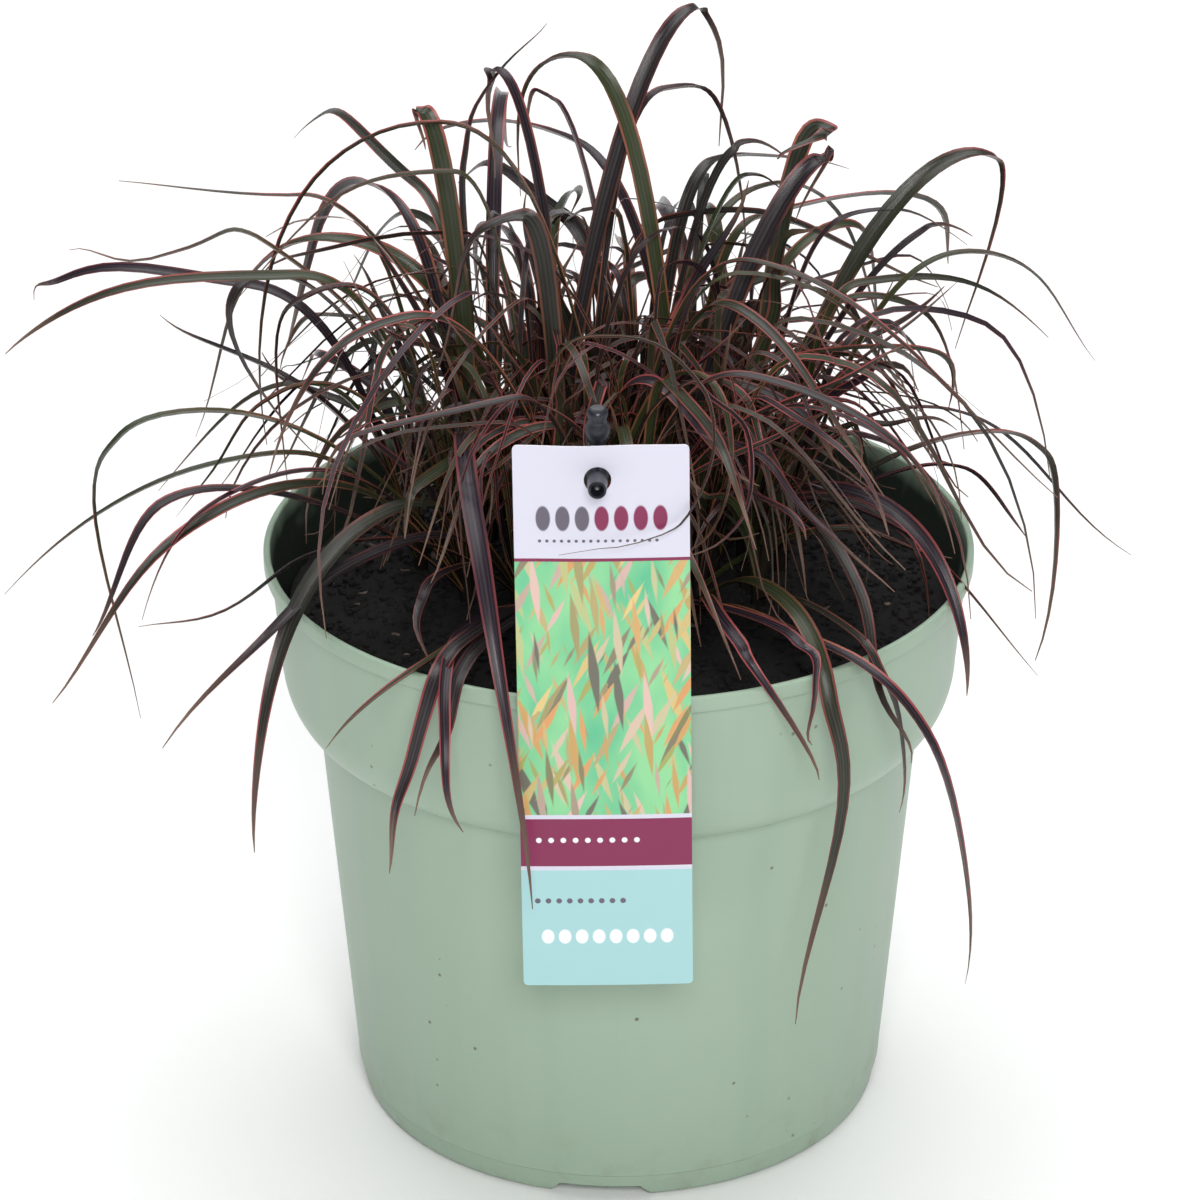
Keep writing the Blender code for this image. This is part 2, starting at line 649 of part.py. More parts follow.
def largest_body(item):
    """Keep the outer body of a fused tuft, which also fills any sealed hollow."""
    shape = bmesh.new()
    shape.from_mesh(item.data)
    unseen = set(shape.faces)
    islands = []
    while unseen:
        island, front = set(), [next(iter(unseen))]
        while front:
            face = front.pop()
            if face in unseen:
                unseen.discard(face)
                island.add(face)
                front += [near for edge in face.edges for near in edge.link_faces]
        islands.append(island)
    islands.sort(key=len)
    for island in islands[:-1]:
        verts = {vertex for face in island for vertex in face.verts}
        bmesh.ops.delete(shape, geom=list(verts), context="VERTS")
    shape.to_mesh(item.data)
    shape.free()


def make_tuft(index, place, blades, parts, joiners, material):
    """One shoot: its sheathed foot with its blades fused to it."""
    tuft = add_object(f"tuft_{index + 1:02d}", stem_mesh(place), parts, material)
    for blade, turn in blades:
        add_object("blade", blade_mesh(place, blade, turn), joiners)
    use_collection(tuft, joiners, "UNION")
    largest_body(tuft)
    return tuft


def drill_soil(soil, places, cutters):
    """Plain holes in the soil for the shoots and the peg."""
    depth = STEM_DEPTH + GAP
    for place in places:
        hole = add_prism("stem_hole", STEM_RADIUS + GAP * 1.3, STEM_RADIUS + GAP * 1.3,
                         depth + 10, 5, cutters)
        middle = Vector((place.x, place.y, MOUND_HEIGHT - depth + (depth + 10) / 2))
        hole.data.transform(Matrix.Translation(middle * MM))
    depth = PEG_LENGTH + GAP
    hole = add_prism("peg_hole", PEG_RADIUS + GAP * 1.5, PEG_RADIUS + GAP * 1.5, depth, 12, cutters)
    hole.data.transform(peg_frame() @ Matrix.Translation(Vector((0, 0, -depth / 2)) * MM))
    use_collection(soil, cutters, "DIFFERENCE")


def build():
    """Make every piece of the potted plant."""
    clear_scene()
    parts = bpy.data.collections.new("potted_hook_sedge")
    cutters = bpy.data.collections.new("cutters")
    joiners = bpy.data.collections.new("joiners")
    for collection in (parts, cutters, joiners):
        bpy.context.scene.collection.children.link(collection)
    pot = make_pot(parts, cutters, make_material("sage_plastic", (0.35, 0.48, 0.37), 0.45))
    soil = make_soil(parts, make_material("potting_soil", (0.02, 0.013, 0.009), 0.95))
    label = make_label(parts, make_material("label_card", (0.8, 0.78, 0.88), 0.4))
    peg = make_peg(parts, cutters, make_material("peg_plastic", (0.02, 0.022, 0.03), 0.4))
    leaf = make_material("bronze_leaf", (0.05, 0.035, 0.025), 0.5)
    places = tuft_places()
    grown = grow(places, [item.data for item in (pot, soil, label, peg)])
    drill_soil(soil, places, cutters)
    for index, (place, blades) in enumerate(zip(places, grown)):
        make_tuft(index, place, blades, parts, joiners, leaf)


build()
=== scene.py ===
# %% [markdown]
# A bronze hook sedge in a sage green nursery pot. The plain solids of the pot, the soil, the
# label, its peg and the forty shoots come from the CAD model and fix every size and place.
# This lesson dresses them: a smooth pot with a scuffed finish, crumbly soil, a printed card
# on its peg, and several hundred thin arching leaves. The frame is loaded first, and its box
# is kept and printed; the dressed plant's box is printed at the end.

# %% Load the fixed frame
import json
import math
import random

import bmesh
import bpy
from mathutils import Matrix, Vector, geometry, noise
from mathutils.bvhtree import BVHTree

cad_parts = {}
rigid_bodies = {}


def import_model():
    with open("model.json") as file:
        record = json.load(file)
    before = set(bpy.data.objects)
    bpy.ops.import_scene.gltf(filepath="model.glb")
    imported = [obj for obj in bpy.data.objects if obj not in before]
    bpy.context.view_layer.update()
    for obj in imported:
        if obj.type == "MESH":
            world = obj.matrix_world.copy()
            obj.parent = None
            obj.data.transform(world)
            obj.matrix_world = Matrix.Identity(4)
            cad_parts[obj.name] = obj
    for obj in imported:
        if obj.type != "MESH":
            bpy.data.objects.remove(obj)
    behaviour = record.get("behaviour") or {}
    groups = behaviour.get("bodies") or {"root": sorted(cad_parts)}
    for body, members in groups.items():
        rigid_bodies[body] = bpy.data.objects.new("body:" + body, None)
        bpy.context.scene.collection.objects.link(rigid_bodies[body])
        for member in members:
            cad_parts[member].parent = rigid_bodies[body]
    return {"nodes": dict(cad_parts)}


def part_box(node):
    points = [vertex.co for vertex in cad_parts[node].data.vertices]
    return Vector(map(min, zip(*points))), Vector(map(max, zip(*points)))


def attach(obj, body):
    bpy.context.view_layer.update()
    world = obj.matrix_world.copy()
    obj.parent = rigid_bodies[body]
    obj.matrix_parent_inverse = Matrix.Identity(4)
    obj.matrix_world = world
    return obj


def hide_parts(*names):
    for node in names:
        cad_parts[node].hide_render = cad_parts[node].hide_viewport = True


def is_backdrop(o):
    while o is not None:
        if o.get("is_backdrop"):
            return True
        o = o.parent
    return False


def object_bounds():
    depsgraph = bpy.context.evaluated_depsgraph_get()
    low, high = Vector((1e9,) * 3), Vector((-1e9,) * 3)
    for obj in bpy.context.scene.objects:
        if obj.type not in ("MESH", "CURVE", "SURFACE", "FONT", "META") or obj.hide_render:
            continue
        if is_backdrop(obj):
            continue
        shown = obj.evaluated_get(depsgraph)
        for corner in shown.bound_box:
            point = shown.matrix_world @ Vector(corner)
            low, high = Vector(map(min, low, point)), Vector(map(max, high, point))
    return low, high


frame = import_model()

MM = 0.001
cad_low, cad_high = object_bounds()
print("CAD box in mm:", [round(value / MM, 1) for value in cad_high - cad_low])

# %% [markdown]
# The real plant was photographed from the front and from above, about a metre and a half
# away, with a long lens. The camera is turned down by 26 degrees, and its frame is shifted a
# little because the picture was cropped off centre.

# %% The camera
RIM_HEIGHT = 188.0
VIEW_DISTANCE = 1400.0
VIEW_TILT = math.radians(26.346)
AIM_BELOW_RIM = 21.68
SENSOR = 36.0
FOCAL_LENGTH = 134.5
FRAME_SHIFT = -0.0156

camera = bpy.data.objects.new("camera", bpy.data.cameras.new("camera"))
bpy.context.scene.collection.objects.link(camera)
bpy.context.scene.camera = camera
camera.location = (0, -VIEW_DISTANCE * math.cos(VIEW_TILT) * MM,
                   (RIM_HEIGHT - AIM_BELOW_RIM + VIEW_DISTANCE * math.sin(VIEW_TILT)) * MM)
camera.rotation_euler = (math.pi / 2 - VIEW_TILT, 0, 0)
camera.data.sensor_width = SENSOR
camera.data.lens = FOCAL_LENGTH
camera.data.shift_x = FRAME_SHIFT
camera.data.clip_start = 0.01
print("camera stands at", [round(value, 3) for value in camera.location])

# %% [markdown]
# Plants for sale are shot on white with large soft boxes, so the leaves keep their colours
# and the pot shows only a soft shine. A weak world fills the shadows, but the camera sees it
# as a bright backdrop. One big lamp stands in front, a weaker one to the right and one
# overhead, which whitens the floor. The floor is plain and pale, and its far part glows a
# little, as a lit studio sweep does, so that no dark band shows behind the plant.

# %% Light and floor
def soft_box(name, place, aim, size, power, color):
    """A square area lamp that looks at a point."""
    lamp = bpy.data.objects.new(name, bpy.data.lights.new(name, "AREA"))
    bpy.context.scene.collection.objects.link(lamp)
    lamp.location = place
    lamp.rotation_euler = (Vector(place) - Vector(aim)).to_track_quat("Z", "Y").to_euler()
    lamp.data.size = size
    lamp.data.energy = power
    lamp.data.color = color


SHADOW_LIGHT, SEEN_LIGHT = 0.21, 1.06
MIDDLE = (0, 0, 0.2)

world = bpy.data.worlds.new("studio")
bpy.context.scene.world = world
world.use_nodes = True
backdrop = world.node_tree.nodes["Background"].inputs
backdrop["Color"].default_value = (0.96, 0.98, 1.0, 1.0)
seen = world.node_tree.nodes.new("ShaderNodeLightPath").outputs["Is Camera Ray"]
strength = world.node_tree.nodes.new("ShaderNodeMapRange")
strength.inputs["To Min"].default_value = SHADOW_LIGHT
strength.inputs["To Max"].default_value = SEEN_LIGHT
world.node_tree.links.new(seen, strength.inputs["Value"])
world.node_tree.links.new(strength.outputs[0], backdrop["Strength"])
bpy.context.scene.view_settings.view_transform = "Standard"
soft_box("key_light", (0.12, -1.7, 1.3), MIDDLE, 0.7, 23.0, (1.0, 0.99, 0.98))
soft_box("fill_light", (1.4, -0.9, 0.9), MIDDLE, 0.8, 1.0, (0.93, 0.97, 1.0))
soft_box("top_light", (0.0, 0.9, 2.6), (0, 0.6, 0), 3.0, 78.0, (1.0, 1.0, 1.0))

# %% Helpers for working by hand
def start_clean():
    """Leave nothing selected, so that an operator acts only on the new piece."""
    bpy.ops.object.select_all(action="DESELECT")


def take(item):
    """Select one object and make it active."""
    start_clean()
    item.select_set(True)
    bpy.context.view_layer.objects.active = item


def settle(item, name):
    """Name a new piece and move its place and size into its mesh."""
    take(item)
    bpy.ops.object.transform_apply(location=True, rotation=True, scale=True)
    item.name = name
    item.data.name = name
    return item


def edit(item):
    """Go into edit mode with all of a piece selected."""
    take(item)
    bpy.ops.object.mode_set(mode="EDIT")
    bpy.ops.mesh.select_all(action="SELECT")


def leave_edit():
    """Turn the faces outwards and go back to object mode."""
    bpy.ops.mesh.select_all(action="SELECT")
    bpy.ops.mesh.normals_make_consistent(inside=False)
    bpy.ops.object.mode_set(mode="OBJECT")


def apply_modifier(item, kind, **settings):
    """Add one modifier, set it up and apply it."""
    take(item)
    modifier = item.modifiers.new("step", kind)
    for key, value in settings.items():
        setattr(modifier, key, value)
    bpy.ops.object.modifier_apply(modifier="step")


def cut_out(item, cutter):
    """Cut one piece with another and throw the cutter away."""
    apply_modifier(item, "BOOLEAN", operation="DIFFERENCE", object=cutter, solver="EXACT")
    bpy.data.objects.remove(cutter, do_unlink=True)


def dress(item, finish, slot, *nodes, angle=None):
    """Smooth a piece, and give it its finish, its body and the nodes it replaces; the slot is not
    used.
    """
    if angle:
        take(item)
        bpy.ops.object.shade_smooth_by_angle(angle=math.radians(angle))
    item.data.materials.clear()
    item.data.materials.append(finish)
    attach(item, "root")
    if nodes:
        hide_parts(*nodes)


def triangles(item):
    """How many triangles a piece has."""
    item.data.calc_loop_triangles()
    return len(item.data.loop_triangles)


start_clean()
bpy.ops.mesh.primitive_plane_add(size=12.0, location=(0, 0, -0.0005))
floor = settle(bpy.context.active_object, "floor")
floor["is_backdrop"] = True
print("floor:", triangles(floor), "triangles")

# %% [markdown]
# A material is a small network of nodes. A class with short methods keeps the networks easy
# to read: one method adds a node with its settings and its inputs, and the others stand for
# the nodes that are used most. Colours are written as they are read off a screen, from 0 to
# 255, and turned into the linear values that nodes take.

# %% Helpers for finishes
def screen_color(red, green, blue):
    """The linear colour for three screen values from 0 to 255."""
    linear = [((value / 255 + 0.055) / 1.055) ** 2.4 for value in (red, green, blue)]
    return (*linear, 1.0)


class Finish:
    """A material with short ways to add nodes to its network."""

    def __init__(self, name, roughness):
        self.material = bpy.data.materials.new(name)
        self.material.use_nodes = True
        self.tree = self.material.node_tree
        self.shader = self.tree.nodes["Principled BSDF"]
        self.shader.inputs["Roughness"].default_value = roughness

    def add(self, kind, inputs=None, **settings):
        """A node with its settings; an input is a value or the socket that feeds it."""
        node = self.tree.nodes.new("ShaderNode" + kind)
        for key, value in settings.items():
            setattr(node, key, value)
        for key, value in (inputs or {}).items():
            if isinstance(value, bpy.types.NodeSocket):
                self.tree.links.new(value, node.inputs[key])
            else:
                node.inputs[key].default_value = value
        return node

    def feed(self, name, value):
        """Let a socket drive one of the shader's inputs."""
        self.tree.links.new(value, self.shader.inputs[name])

    def place(self):
        """Where a point of the surface is, in metres."""
        return self.add("TexCoord").outputs["Object"]

    def sum(self, operation, *values):
        """The result of one sum."""
        return self.add("Math", dict(enumerate(values)), operation=operation).outputs[0]

    def times(self, first, *others):
        """Several values multiplied, one after the other."""
        for other in others:
            first = self.sum("MULTIPLY", first, other)
        return first

    def mix(self, factor, first, second, mode="MIX"):
        """One colour laid over another."""
        return self.add("Mix", {0: factor, 6: first, 7: second},
                        data_type="RGBA", blend_type=mode).outputs[2]

    def noise(self, vector, scale, detail=3.0, roughness=0.5):
        """Cloudy noise between 0 and 1."""
        return self.add("TexNoise", {"Vector": vector, "Scale": scale, "Detail": detail,
                                     "Roughness": roughness}).outputs["Fac"]

    def mapped(self, vector, **settings):
        """A pattern's coordinates moved, turned or stretched."""
        return self.add("Mapping", {"Vector": vector, **settings}).outputs[0]

    def between(self, value, low, high):
        """A value stretched so that low becomes 0 and high becomes 1, and cut off there."""
        return self.add("MapRange", {0: value, 1: low, 2: high}).outputs[0]

    def ramp(self, value, stops, **settings):
        """Colours that a value picks from a list of positions and colours."""
        node = self.add("ValToRGB", {0: value})
        for key, setting in settings.items():
            setattr(node.color_ramp, key, setting)
        while len(node.color_ramp.elements) < len(stops):
            node.color_ramp.elements.new(0.5)
        for stop, (position, color) in zip(node.color_ramp.elements, stops):
            stop.position, stop.color = position, color
        return node.outputs[0]

    def relief(self, height, strength, distance):
        """Give the surface a fine relief."""
        bump = self.add("Bump", {"Height": height, "Strength": strength, "Distance": distance})
        self.feed("Normal", bump.outputs["Normal"])


print("helpers ready")

# %% Floor finish
GLOW_FROM, GLOW_TO, GLOW = 0.9, 2.4, 0.8

sweep = Finish("pale_floor", 0.9)
place = sweep.place()
shade = sweep.mix(sweep.noise(place, 3.0), (0.94, 0.94, 0.94, 1), (0.97, 0.97, 0.97, 1))
sweep.feed("Base Color", shade)
away = sweep.add("VectorMath", {0: place}, operation="LENGTH").outputs["Value"]
sweep.shader.inputs["Emission Color"].default_value = (1.0, 1.0, 1.0, 1.0)
sweep.feed("Emission Strength", sweep.times(sweep.between(away, GLOW_FROM, GLOW_TO), GLOW))
floor.data.materials.append(sweep.material)
print("floor finish:", sweep.material.name)

# %% [markdown]
# The pot is blown or moulded in sage green plastic with a fine matt skin. The colour isn't
# quite even: it is a little darker in vertical streaks, there are specks of soil on the
# collar and wall, and dust gathers near the foot. The streaks follow the angle round the
# pot, which the finish works out from the Object coordinates.

# %% The pot's plastic
WALL_LINE, WALL_SLOPE = 0.0881, 0.1067
# heights of the inner wall's dark film, which is wet soil and painted shade
SHADE_FILM_LOW, SHADE_FILM_FULL, SHADE_FILM_TOP = 0.155, 0.186, 0.193


def pot_plastic():
    """Sage green plastic with streaks, specks, dust, and wet soil and painted shade inside."""
    skin = Finish("sage_plastic", 0.42)
    place = skin.place()
    x, y, z = skin.add("SeparateXYZ", {0: place}).outputs
    around = skin.add("CombineXYZ", {0: skin.sum("ARCTAN2", x, y), 2: z}).outputs[0]
    cloud = skin.noise(place, 14.0)
    paint = skin.mix(cloud, screen_color(150, 173, 152), screen_color(158, 178, 159))
    streak = skin.between(skin.noise(around, 7.0, 5.0), 0.45, 0.75)
    paint = skin.mix(skin.times(streak, 0.35), paint, screen_color(143, 167, 146))
    cells = skin.add("TexVoronoi", {"Vector": place, "Scale": 130.0}).outputs["Distance"]
    patch = skin.between(skin.noise(place, 24.0), 0.56, 0.6)
    specks = skin.times(skin.between(cells, 0.11, 0.05), patch)
    paint = skin.mix(specks, paint, screen_color(96, 92, 72))
    dust = skin.between(skin.noise(place, 60.0, 6.0, 0.7), 0.5, 0.75)
    dust = skin.times(skin.between(z, 0.03, 0.0), dust, 0.5)
    paint = skin.mix(dust, paint, screen_color(120, 112, 90))
    # a film of wet soil, deepened with painted shade, darkens the inner wall up to a ragged line
    # under the lip
    level = skin.add("CombineXYZ", {0: x, 1: y}).outputs[0]
    radius = skin.add("VectorMath", {0: level}, operation="LENGTH").outputs["Value"]
    inner = skin.sum("LESS_THAN", radius, skin.sum("MULTIPLY_ADD", z, WALL_SLOPE, WALL_LINE))
    ragged = skin.sum("ADD", z, skin.times(skin.noise(place, 60.0, 5.0), 0.01))
    patchy_film_and_shade = skin.between(skin.noise(place, 35.0, 5.0), 0.05, 0.4)
    soil_film_and_shade = skin.times(inner, skin.between(ragged, SHADE_FILM_TOP, SHADE_FILM_FULL),
                      skin.sum("GREATER_THAN", z, SHADE_FILM_LOW), patchy_film_and_shade, 0.95)
    skin.feed("Base Color", skin.mix(soil_film_and_shade, paint, screen_color(24, 31, 26)))
    skin.feed("Roughness", skin.add("MapRange", {0: cloud, 3: 0.36, 4: 0.5}).outputs[0])
    skin.relief(skin.noise(place, 700.0, 4.0), 0.12, 0.0003)
    return skin.material


sage = pot_plastic()
print("finish:", sage.name)

# %% [markdown]
# The pot itself is a turned form: a lip, a collar that tapers a little, a round shoulder and
# a straight wall down to the foot ring. On a real machine it comes out of a round mould, so
# it is modelled as on a potter's wheel: a ring of points is extruded and resized, step by
# step, along the profile. The four notches and the drain holes are then cut out of it.

# %% A helper that turns a form ring by ring
def turn_form(name, profile, sides):
    """Extrude and resize a ring along (radius, height) points in mm, and cap both ends."""
    start_clean()
    radius, height = profile[0]
    bpy.ops.mesh.primitive_circle_add(vertices=sides, radius=radius * MM,
                                      location=(0, 0, height * MM))
    item = settle(bpy.context.active_object, name)
    edit(item)
    bpy.ops.mesh.select_mode(type="EDGE")
    bpy.ops.mesh.select_all(action="SELECT")
    for new_radius, new_height in profile[1:]:
        size = new_radius / radius
        bpy.ops.mesh.extrude_region_move(
            TRANSFORM_OT_translate={"value": (0, 0, (new_height - height) * MM)})
        bpy.ops.transform.resize(value=(size, size, 1),
                                 center_override=(0, 0, new_height * MM))
        radius, height = new_radius, new_height
    bpy.ops.mesh.select_all(action="SELECT")
    bpy.ops.mesh.fill_holes(sides=0)
    leave_edit()
    return item


def rounded(centre, size, start, end, count):
    """Points on an arc of an ellipse, in degrees, for a profile."""
    turns = [math.radians(start + (end - start) * i / count) for i in range(count + 1)]
    return [(centre[0] + size[0] * math.cos(t), centre[1] + size[1] * math.sin(t))
            for t in turns]


print("helper ready: turn_form")

# %% The pot's profile
RIM_RADIUS = 110.0
WALL = 2.2
LIP_HEIGHT = 5.0
COLLAR_TOP_RADIUS = 107.9
COLLAR_LOW_RADIUS = 105.4
SHOULDER_TOP = 152.0
SHOULDER_HEIGHT = 18.0
BODY_TOP_RADIUS = 94.7
BODY_LOW_RADIUS = 84.9
FOOT_BAND_HEIGHT = 8.5
FOOT_RADIUS = 81.0
FOOT_RING_WIDTH = 5.0
FLOOR_UNDERSIDE = 5.0
FLOOR_TOP = 7.5
PAD_RADIUS = 18.0

shoulder = (COLLAR_LOW_RADIUS - BODY_TOP_RADIUS, SHOULDER_HEIGHT)
inside = [(BODY_LOW_RADIUS - WALL - 3, FLOOR_TOP)]
inside += rounded((BODY_LOW_RADIUS - WALL - 3, FLOOR_TOP + 3), (3, 3), -60, 0, 4)
inside += rounded((BODY_TOP_RADIUS - WALL, SHOULDER_TOP), shoulder, -90, 0, 12)
inside += rounded((RIM_RADIUS - WALL + 0.9, RIM_HEIGHT - 0.9), (0.9, 0.9), 180, 90, 4)
outside = rounded((RIM_RADIUS - 0.9, RIM_HEIGHT - 0.9), (0.9, 0.9), 90, 0, 4)
outside += rounded((RIM_RADIUS - 0.7, RIM_HEIGHT - LIP_HEIGHT + 0.7), (0.7, 0.7), 0, -80, 3)
outside += [(COLLAR_TOP_RADIUS, RIM_HEIGHT - LIP_HEIGHT - 0.8)]
outside += rounded((BODY_TOP_RADIUS, SHOULDER_TOP), shoulder, 0, -90, 16)
foot = [(BODY_LOW_RADIUS + 0.1, FOOT_BAND_HEIGHT + 1.0), (BODY_LOW_RADIUS + 0.1, FOOT_BAND_HEIGHT),
        (BODY_LOW_RADIUS - 0.7, FOOT_BAND_HEIGHT - 0.8), (BODY_LOW_RADIUS - 1.2, 2.5)]
foot += rounded((FOOT_RADIUS, 1.6), (2.3, 1.6), -10, -90, 4)
foot += [(FOOT_RADIUS - FOOT_RING_WIDTH, 0), (FOOT_RADIUS - FOOT_RING_WIDTH - 1, FLOOR_UNDERSIDE),
         (PAD_RADIUS + 1, FLOOR_UNDERSIDE), (PAD_RADIUS, 0)]
pot = turn_form("nursery_pot", inside + outside + foot, 144)
print("pot profile:", len(inside + outside + foot), "points,", triangles(pot), "triangles")

# %% Notches and drain holes
NOTCH_COUNT, NOTCH_ANGLE = 4, -94.0
NOTCH_WIDTH, NOTCH_TOP_WIDTH, NOTCH_HEIGHT = 33.0, 25.0, 4.0
NOTCH_CUT_DEPTH, NOTCH_CUT_HEIGHT = 24.0, 8.0
DRAIN_COUNT, DRAIN_CIRCLE, DRAIN_RADIUS = 8, 58.0, 5.0


def notch_cutter(angle):
    """A block through the foot ring whose lower face is wider, turned to its place."""
    start_clean()
    bpy.ops.mesh.primitive_cube_add(
        size=1.0, scale=(NOTCH_CUT_DEPTH * MM, NOTCH_TOP_WIDTH * MM, NOTCH_CUT_HEIGHT * MM),
        location=(FOOT_RADIUS * MM, 0, (NOTCH_HEIGHT - NOTCH_CUT_HEIGHT / 2) * MM))
    item = settle(bpy.context.active_object, "notch_cutter")
    edit(item)
    bpy.ops.mesh.select_mode(type="VERT")
    bpy.ops.mesh.select_all(action="DESELECT")
    bpy.ops.object.mode_set(mode="OBJECT")
    for vertex in item.data.vertices:
        vertex.select = vertex.co.z < 0
    bpy.ops.object.mode_set(mode="EDIT")
    spread = (2 * NOTCH_WIDTH - NOTCH_TOP_WIDTH) / NOTCH_TOP_WIDTH
    bpy.ops.transform.resize(value=(1, spread, 1), center_override=(0, 0, 0))
    bpy.ops.object.mode_set(mode="OBJECT")
    item.rotation_euler.z = math.radians(angle)
    return settle(item, "notch_cutter")


def drain_cutter(angle):
    """A short round bar through the pot's floor."""
    turn = math.radians(angle)
    start_clean()
    bpy.ops.mesh.primitive_cylinder_add(
        vertices=24, radius=DRAIN_RADIUS * MM, depth=12 * MM,
        location=(DRAIN_CIRCLE * MM * math.cos(turn), DRAIN_CIRCLE * MM * math.sin(turn), 6 * MM))
    return settle(bpy.context.active_object, "drain_cutter")


for index in range(NOTCH_COUNT):
    cut_out(pot, notch_cutter(NOTCH_ANGLE + 360 / NOTCH_COUNT * index))
for index in range(DRAIN_COUNT):
    cut_out(pot, drain_cutter(NOTCH_ANGLE + 360 / DRAIN_COUNT * (index + 0.5)))
dress(pot, sage, "pot_plastic", "pot", angle=35)
print("pot:", triangles(pot), "triangles")

# %% [markdown]
# Potting soil is peat: nearly black, matt, full of crumbs, fibres and a few pale chips. Its
# surface lies a little under the rim and rises to a low mound round the shoots. A disc of
# rings is turned like the pot, its top is pushed up and down by noise, and crumbs and chips
# are scattered over it.

# %% The soil's finish
def soil_finish(name, dark, light):
    """Matt crumbly matter between two colours, with a rough relief."""
    matter = Finish(name, 0.95)
    place = matter.place()
    grain = matter.between(matter.noise(place, 420.0, 6.0, 0.65), 0.3, 0.7)
    patch = matter.between(matter.noise(place, 45.0), 0.4, 0.7)
    paint = matter.mix(grain, dark, light)
    matter.feed("Base Color", matter.mix(matter.times(patch, 0.5), paint, dark))
    matter.relief(matter.noise(place, 900.0, 6.0, 0.7), 0.7, 0.0008)
    return matter.material


peat = soil_finish("peat", screen_color(5, 4, 4), screen_color(23, 18, 18))
chip = soil_finish("bark_chip", screen_color(70, 56, 50), screen_color(136, 122, 114))
print("finishes:", peat.name, chip.name)

# %% The soil's body
MOUND_HEIGHT = 174.5
MOUND_RADIUS = 68.0
SOIL_EDGE_HEIGHT = 167.0
SOIL_GAP = 0.45
SOIL_EDGE_RADIUS = COLLAR_LOW_RADIUS - WALL - SOIL_GAP
SOIL_RINGS = 34


def soil_level(radius):
    """The height of the smooth soil surface at a distance from the middle."""
    share = max(0.0, (radius - MOUND_RADIUS) / (SOIL_EDGE_RADIUS - MOUND_RADIUS))
    return MOUND_HEIGHT + (SOIL_EDGE_HEIGHT - MOUND_HEIGHT) * share ** 0.7


def lump(x, y):
    """How far the real surface lies off the smooth one, in mm."""
    coarse = noise.noise(Vector((x, y, 0)) * 0.06) * 1.6
    fine = noise.noise(Vector((x, y, 7)) * 0.24) * 1.3
    return coarse + fine + noise.noise(Vector((x, y, 3)) * 0.7) * 0.8


low_wall = BODY_LOW_RADIUS - WALL - SOIL_GAP - 0.4
soil_profile = [(low_wall - 3, FLOOR_TOP + 0.4), (low_wall, FLOOR_TOP + 3.4),
                (BODY_TOP_RADIUS - WALL - SOIL_GAP - 0.4, SHOULDER_TOP - SHOULDER_HEIGHT),
                (SOIL_EDGE_RADIUS, SHOULDER_TOP + 4)]
for ring in range(SOIL_RINGS):
    reach = SOIL_EDGE_RADIUS * (1 - ring / SOIL_RINGS)
    soil_profile.append((reach, soil_level(reach)))
soil = turn_form("potting_soil", soil_profile, 120)
for vertex in soil.data.vertices:
    x, y, z = vertex.co / MM
    if z > SOIL_EDGE_HEIGHT - 1:
        vertex.co.z += lump(x, y) * MM
take(soil)
bpy.ops.object.shade_smooth()
dress(soil, peat, "potting_soil", "soil")
print("soil body:", triangles(soil), "triangles")

# %% Crumbs, chips and dry bits
def scatter(name, finish, count, seed, sizes, flatness, length, rough):
    """Many distorted little stones on the soil, joined to one mesh."""
    draw = random.Random(seed)
    start_clean()
    bpy.ops.mesh.primitive_ico_sphere_add(subdivisions=1, radius=1.0)
    model = settle(bpy.context.active_object, name + "_model")
    shape = bmesh.new()
    for _ in range(count):
        radius = (SOIL_EDGE_RADIUS - 4) * math.sqrt(draw.random())
        turn = draw.uniform(0, math.tau)
        x, y = radius * math.cos(turn), radius * math.sin(turn)
        size = draw.triangular(*sizes)
        spin = Matrix.Rotation(draw.uniform(0, math.tau), 3, "Z")
        spin = spin @ Matrix.Rotation(draw.gauss(0, 0.25), 3, "Y")
        stretch = Vector((size * draw.uniform(1.0, length), size, size * flatness))
        centre = Vector((x, y, soil_level(radius) + lump(x, y) + size * flatness * 0.35))
        corners = []
        for vertex in model.data.vertices:
            point = vertex.co * draw.uniform(1 - rough, 1 + rough) * stretch
            corners.append(shape.verts.new((spin @ point + centre) * MM))
        for face in model.data.polygons:
            shape.faces.new([corners[i] for i in face.vertices])
    mesh = bpy.data.meshes.new(name)
    shape.to_mesh(mesh)
    shape.free()
    bpy.data.objects.remove(model, do_unlink=True)
    item = bpy.data.objects.new(name, mesh)
    bpy.context.scene.collection.objects.link(item)
    dress(item, finish, "potting_soil")
    return item


crumbs = scatter("soil_crumbs", peat, 5200, 3, (0.25, 1.6, 0.4), 0.85, 1.7, 0.3)
chips = scatter("bark_chips", chip, 60, 5, (0.4, 1.3, 0.6), 0.4, 6.0, 0.2)
print("crumbs:", triangles(crumbs), "triangles, chips:", triangles(chips))

# %% [markdown]
# The plant label is a stiff glossy card that hangs on a plastic peg. It has small round
# corners and a punched hole, and it isn't quite flat: its top edge is a little wavy. It is a
# flat plane with bevelled corners, thickened, punched and cut into rows and columns so that
# it can be bent. Its print is a set of bands, read from the card's own UV map: a pale top
# with ovals and dots, a panel of slender leaf ovals, a dark red band and a mint foot.

# %% The card's shape
LABEL_X = -5.0
LABEL_WIDTH, LABEL_LENGTH, LABEL_THICKNESS = 50.0, 169.0, 0.7
LABEL_TOP = Vector((LABEL_X, -104.5, 266.5))
LABEL_LEAN = math.radians(-4.6)
LABEL_ROLL = math.radians(0.7)
LABEL_CORNER = 1.4
LABEL_HOLE_RADIUS, LABEL_HOLE_DROP = 3.9, 10.0
LABEL_ROWS, LABEL_COLUMNS = 34, 10
PEG_TOP = Vector((-6.0, -98.0, 275.0))
PEG_LEAN = math.radians(8.0)

